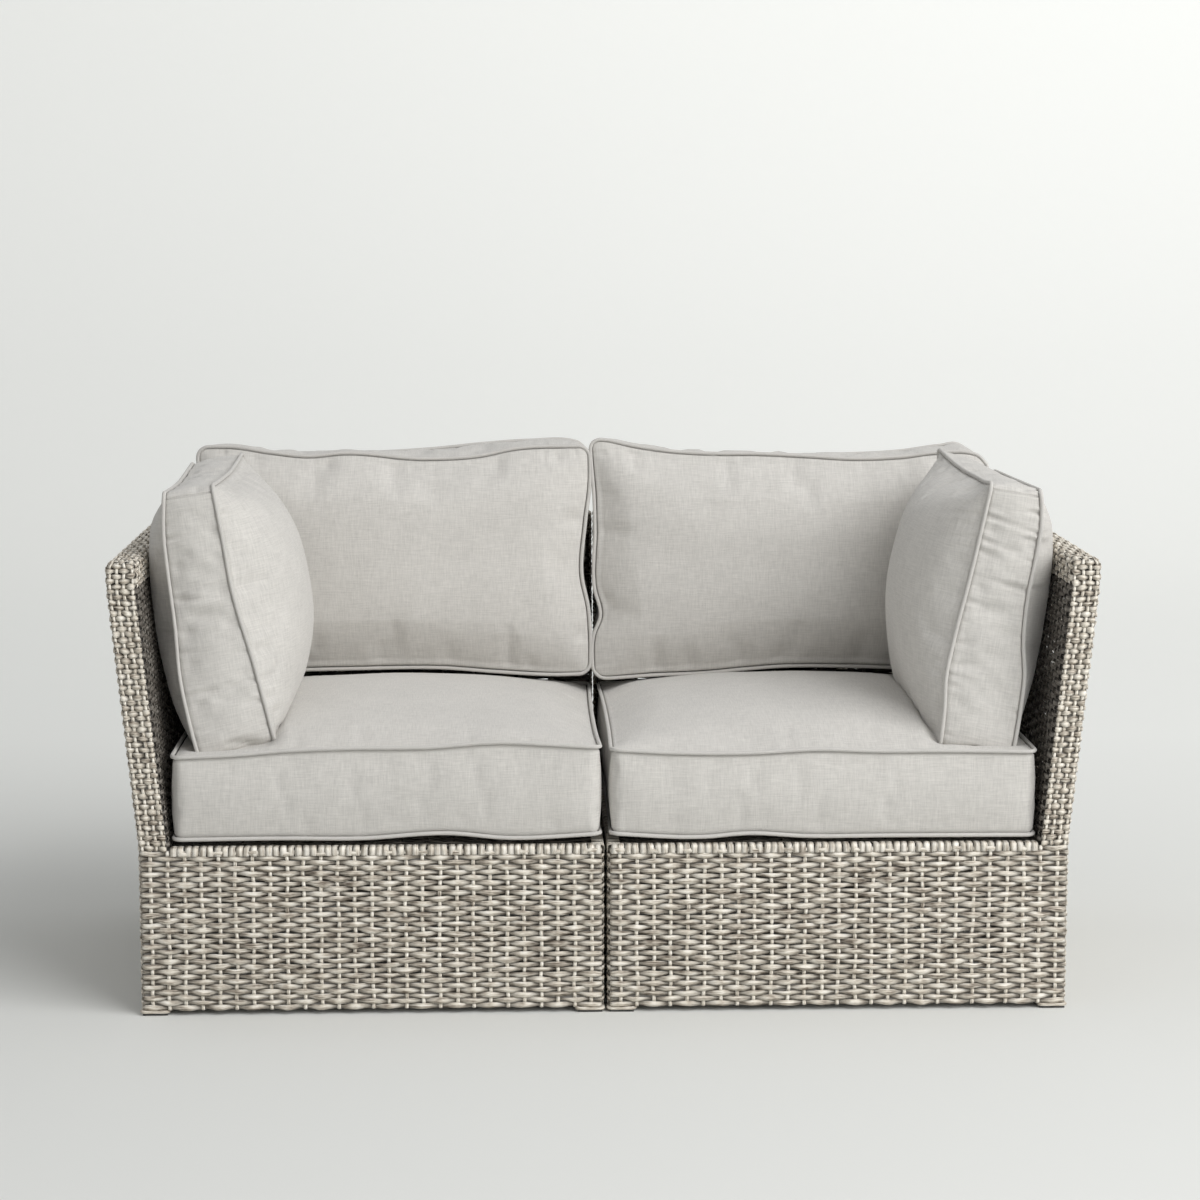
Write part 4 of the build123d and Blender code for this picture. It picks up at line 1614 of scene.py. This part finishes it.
    def zipper(self) -> None:
        """Zip tape with its coil and two rows of stitches, on the flat side of the boxing."""
        half, tape, stitched, under = self.zip_length / 2, 0.011, 0.0085, -0.0008
        steps = np.linspace(-half, half, 2 * round(self.zip_length / 0.012) + 1)
        rows = np.array([-tape, -tape * 0.3, tape * 0.3, tape])
        lift = np.array([0.0001, 0.0006, 0.0006, 0.0001])
        points = np.vstack([self.on_flat_side(steps[:, None], rows, out).reshape(-1, 3)
                            for out in (lift, under)])
        ids = np.arange(len(steps) * 4).reshape(-1, 4)
        rim = border(ids)
        quads = np.vstack([grid(ids), grid(ids)[:, ::-1] + ids.size, band(np.array([rim + ids.size, rim]))])
        mesh = make_mesh(self.stem + "_tape", self.to_world(points), quads, points)
        mesh.materials.append(TAPE.material())
        turn_outwards(mesh)
        meshes = [mesh]
        coil, stitches = (0.0021, 0.0052, 0.0009, COIL, 1.0), (0.004, 0.0032, 0.0004, WELT)
        for level, made in ((0.0, coil), (-stitched, stitches), (stitched, stitches)):
            line = self.to_world(self.on_flat_side(steps * 0.985, level, 0.0006))
            meshes.append(bars(self.stem + "_bars", line, *made))
        self.sew("zip_tape", meshes, "zip_tape", "zip")


def turn_outwards(mesh: Mesh) -> None:
    """Turns every face of a closed mesh outwards.

    Args:
        mesh: The mesh.
    """
    shell = bmesh.new()
    shell.from_mesh(mesh)
    bmesh.ops.recalc_face_normals(shell, faces=shell.faces)
    shell.to_mesh(mesh)
    shell.free()


def inflate(mesh: Mesh, pinned: list[int], slack: float) -> Array:
    """Lets pressure fill a sewn cover whose seams are held.

    Args:
        mesh: The cover, used up here.
        pinned: Points that stay where they are.
        slack: Share by which the cloth is cut too long.

    Returns:
        Where its points have come to.
    """
    cover = attach(mesh.name, mesh)
    group = cover.vertex_groups.new(name="held")
    group.add(pinned, 1.0, "REPLACE")
    cloth = cover.modifiers.new("Filled", "CLOTH")
    settings, last = cloth.settings, 20
    settings.quality = 4
    settings.mass = 0.25
    settings.tension_stiffness = settings.compression_stiffness = 18
    settings.bending_stiffness = 1.2
    settings.use_pressure = True
    settings.uniform_pressure_force = 4.0
    settings.shrink_min = -slack
    settings.vertex_group_mass = group.name
    settings.effector_weights.gravity = 0.0
    cloth.point_cache.frame_start, cloth.point_cache.frame_end = 1, last
    scene = bpy.context.scene
    for number in range(1, last + 1):
        scene.frame_set(number)
    result = points_of(cover.evaluated_get(bpy.context.evaluated_depsgraph_get()).data)
    scene.frame_set(1)
    bpy.data.objects.remove(cover)
    bpy.data.meshes.remove(mesh)
    return result


def cushion_set(side: Side) -> dict[str, Cushion]:
    """The three cushions of one module, as its sitters left them.

    Args:
        side: Which module.

    Returns:
        Seat, back and side cushion, by name.
    """
    def pick(left: Any, right: Any) -> Any:
        """The value for this side."""
        return left if side is Side.LEFT else right

    x, y, z = Vector((1, 0, 0)), Vector((0, 1, 0)), Vector((0, 0, 1))
    flat, drawn = Wave(), Wave((0, 0, 0.3, 3, 0.7, 3, 1, 0))
    seat_front = Wave((0, 0, 0.2, 3, 0.5, 4, 0.8, 3, 1, 0), pick(
        (0, -5, 0.08, -3, 0.15, -1, 0.27, 5, 0.4, 8, 0.6, 9, 0.77, 16, 0.9, 12, 1, 8),
        (0, -3, 0.22, -1, 0.37, -1, 0.51, 2, 0.68, -3, 0.84, -2, 1, 4)))
    seat_rear = Wave((0, 1, 0.5, 3, 1, 1), pick(
        (0, -1, 0.26, -2, 0.43, -1, 0.66, -8, 0.77, -1, 1, -6),
        (0, 0, 0.35, 0, 0.54, 0, 0.68, -5, 0.78, 0, 1, -6)))
    seat = Cushion(
        "seat", side, Vector((-0.3398, -0.041768, 0.3438)), (x, y, z), 0.6596, 0.652, 0.134, 0.0076, 0.056,
        (5.5, 3.0, 0, 5.5), Edge.TOP, 0.54087, front=(seat_front, drawn, flat, drawn),
        rear=(seat_rear, drawn, flat, drawn), fill=0.85, cell=0.0058, coarser=1, puckers=0.3, folds=0.7,
        steepness=(2.2, 0.75), slack=0.003, give=0.006, seed=pick(11, 12),
        marks=pick(((Edge.BOTTOM, 1, 0.27, 0.004, 0.03, 0.0018, 0.7),), ()))

    back_top = Wave(pick(
        (0, 0, 0.09, 0, 0.18, 9, 0.28, 16, 0.37, 11, 0.58, 21, 0.72, 16, 0.81, 4, 0.96, 0, 1, 0),
        (0, 24, 0.035, 15, 0.13, 13, 0.22, 20, 0.34, 23, 0.47, 18, 0.59, 14, 0.72, 13, 0.82, 8, 0.9, -1,
         0.97, -11, 1, -12)))
    back_low = Wave(pick(
        (0, -4, 0.25, 4, 0.4, 6, 0.64, 6, 0.75, 0, 0.91, -6, 1, -5),
        (0, -4, 0.24, 3, 0.37, 6, 0.54, 6, 0.62, 2, 0.74, -5, 0.855, -8, 0.92, -11, 0.97, -13, 1, -12)))
    back_in = Wave(pick(
        (0, 0, 0.19, 0, 0.28, 3, 0.42, 14, 0.66, 8, 0.83, 0, 1, 0),
        (0, -11, 0.05, -12, 0.17, -10, 0.25, 2, 0.37, -8, 0.63, -7, 0.79, -9, 0.91, -13, 1, -16)))
    back_out = Wave((0, 0, 0.5, 10, 1, 0))
    rear_in = pick(back_out, Wave((0, -3, 0.5, 2, 1, -6)))
    rear_top = Wave(pick(
        (0, 0, 0.06, -3, 0.13, 3, 0.19, 8, 0.3, 9, 0.45, 8, 0.6, 2, 0.72, -6, 0.85, -12, 0.97, -10, 1, -3),
        (0, 30, 0.02, 12, 0.05, -3, 0.1, -1, 0.2, 8, 0.4, 14, 0.6, 14, 0.8, 8, 0.9, -2, 1, -12)))
    back_axes = x, Vector((0, 0.101056, 0.994881)), Vector((0, -0.994881, 0.101056))
    back = Cushion(
        "back", side, Vector((-0.346604, 0.261325, 0.637867)), back_axes, 0.6732, 0.386, 0.105, 0.012, 0.05,
        (2, 4, 5.5, 4), Edge.BOTTOM, 0.48471, -0.02835, front=(back_low, back_in, back_top, back_out),
        rear=(flat, rear_in, rear_top, back_out), fill=0.8, seed=pick(21, 22), puckers=1.5, folds=1.1,
        corner=0.018, steepness=(2.6, 0.56))

    low_in = Wave(pick(drawn.inward, (0, -8, 0.15, -4, 0.35, 2, 0.7, 3, 1, 0)))
    low_out = Wave(pick((0, -9, 0.15, -5, 0.35, 2, 0.7, 3, 1, 0), (0, -14, 0.15, -8, 0.35, 1, 0.7, 3, 1, 0)))
    bend_in = Wave(
        pick((0, -4, 0.25, 1, 0.5, 4, 1, 0), (0, -22, 0.25, -7, 0.5, 3, 1, 0)),
        pick((0, 0, 0.3, -3, 0.6, -9, 0.8, -4, 1, 0), (0, -13, 0.12, -8, 0.25, 1, 0.4, 2, 0.6, 0, 1, 2)))
    bend_out = Wave(
        pick((0, -28, 0.25, -8, 0.5, 2, 1, 0), (0, -36, 0.25, -11, 0.5, 2, 1, 0)),
        pick((0, -9, 0.15, 2, 0.3, 9, 0.5, 8, 0.7, 9, 0.85, 8, 1, 0),
             (0, -2, 0.18, 6, 0.3, 8, 0.42, 1, 0.58, 0, 0.75, 5, 0.88, 7, 1, 0)))
    side_top = Wave(
        pick((0, 0, 0.3, 3, 0.6, 3, 1, -11), (0, 0, 0.12, 4, 0.3, 5, 0.6, 4, 0.8, -2, 1, -13)),
        pick((0, 0, 0.6, 3, 1, 11), (0, 0, 0.5, 3, 0.8, 13, 1, 24)))
    outer_top = Wave(pick((0, 0, 0.4, 4, 1, -8), (0, 0, 0.4, 4, 1, 9)))
    dents = pick(
        ((1, 0.25, 0.004, 0.02, 0.004, 0.0), (-1, 0.6, 0.004, 0.045, 0.005, -0.1),
         (-1, 0.83, 0.0035, 0.022, 0.004, 0.1), (-1, 0.24, 0.004, 0.04, 0.004, 0.0),
         (-1, 0.47, 0.004, 0.02, 0.0036, 0.0)),
        ((1, 0.88, 0.004, 0.05, 0.004, -0.15), (1, 0.545, 0.004, 0.02, 0.0046, -0.1),
         (-1, 0.62, 0.004, 0.06, 0.0044, 0.1), (-1, 0.84, 0.0035, 0.02, 0.0036, 0.1),
         (1, 0.79, 0.004, 0.035, 0.0036, -0.2), (-1, 0.73, 0.0035, 0.015, 0.0036, 0.0),
         (1, 0.26, 0.004, 0.018, 0.0036, 0.0), (-1, 0.17, 0.004, 0.02, 0.0036, 0.0)))
    side_axes = y, Vector((-0.161604, 0, 0.986856)), Vector((0.986856, 0, 0.161604))
    arm = Cushion(
        "side", side, Vector((-0.611, -0.086, 0.612)), side_axes, 0.4406, 0.41, 0.1, 0.067, 0.098,
        (2, 0, 5.5, 5.5), Edge.RIGHT, 0.2786, taper=7.0, front=(low_in, flat, side_top, bend_in),
        rear=(low_out, flat, outer_top, bend_out), fill=0.8, slack=0.012, seed=pick(31, 32), puckers=1.8,
        folds=0.8, cell=0.0033, corner=0.012, steepness=(2.2, 0.7), peak=pick(0.24, 0.35),
        seams=((Edge.LEFT, 0.985),),
        marks=[(Edge.LEFT, *dent) for dent in dents], berth=(0.05, 0.022, 0.036, 0.013))
    return {"seat": seat, "back": back, "side": arm}


# Carried-over solids


@dataclass(frozen=True)
class FramedModule:
    """The tubes, glides and sliders of one module, which keep their own solids."""

    side: Side
    tubes: Sequence[str] = ("base_frame", "seat_slats", "arm_frame", "back_frame")
    sliders: Sequence[str] = ("seat_zip_slider", "back_zip_slider", "side_zip_slider")

    def build(self) -> None:
        """Gives each carried-over solid its finish."""
        finishes = {**dict.fromkeys(self.tubes, TUBE), "glides": GLIDE, **dict.fromkeys(self.sliders, SLIDER)}
        for node, finish in finishes.items():
            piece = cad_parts[f"{self.side.value}_{node}"]
            if not piece.data.materials:
                piece.data.materials.append(None)
            for slot in piece.material_slots:
                slot.material = finish.material()
            log.info("%s: %s", piece.name, finish.name)


# Studio


@dataclass(frozen=True)
class Studio:
    """Pale sweep, a soft lamp and the camera."""

    focal: float = 87.74
    stand: tuple[float, float, float] = (-0.1514, -4.8272, 1.2606)
    yaw: float = 1.83
    pitch: float = 7.8
    lamp: tuple[float, float, float] = (3.9, -3.6, 4.3)
    aim: tuple[float, float, float] = (0.0, 0.0, 0.4)
    lamp_size: float = 5.5
    key: float = 362.0
    sky: float = 0.47

    def backdrop(self) -> None:
        """A floor that sweeps up into a wall."""
        reach, radius, behind, top, ahead, level = 14.0, 3.0, 4.5, 8.0, -9.0, -2.0
        profile = [(ahead, 0.0), (level, 0.0)]
        profile += [(behind + radius * math.sin(t), radius * (1 - math.cos(t)))
                    for t in np.linspace(0, QUARTER, 25)]
        profile.append((behind + radius, top))
        xs = np.linspace(-reach, reach, 15)
        points = np.array([(x, y, z) for y, z in profile for x in xs])
        ids = np.arange(len(points)).reshape(len(profile), len(xs))
        sweep = attach("studio_sweep", make_mesh("studio_sweep", points, grid(ids.T)))
        sweep.data.materials.append(BACKDROP.material())

    def build(self) -> None:
        """Sweep, lamp, world and camera."""
        self.backdrop()
        light = bpy.data.lights.new("key", "AREA")
        light.shape, light.size, light.energy = "SQUARE", self.lamp_size, self.key
        lamp = attach("key", light)
        lamp.location = self.lamp
        lamp.rotation_euler = (Vector(self.aim) - Vector(self.lamp)).to_track_quat("-Z", "Y").to_euler()
        world = bpy.data.worlds.new("Studio air")
        world.use_nodes = True
        Graph(world.node_tree).fill(world.node_tree.nodes["Background"], {"Color": (0.98, 0.99, 1.0),
                                                                          "Strength": self.sky})
        scene = bpy.context.scene
        scene.world = world
        scene.view_settings.view_transform = "Standard"
        camera = bpy.data.cameras.new("camera")
        camera.lens, camera.sensor_width, camera.clip_end = self.focal, 36.0, 60.0
        eye = attach("camera", camera)
        eye.location = self.stand
        eye.rotation_euler = Euler((math.radians(90 - self.pitch), 0.0, math.radians(-self.yaw)))
        scene.camera = eye


def main() -> None:
    """Builds and dresses the loveseat, piece by piece."""
    logging.basicConfig(level=logging.INFO, format="%(message)s")
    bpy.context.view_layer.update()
    Studio().build()
    for side in Side:
        FramedModule(side).build()
        WovenShell(side).build()
        cushions = cushion_set(side)
        cushions["seat"].build((cushions["back"], cushions["side"]))
        cushions["back"].build()
        cushions["side"].build()


if __name__ == "__main__":
    main()
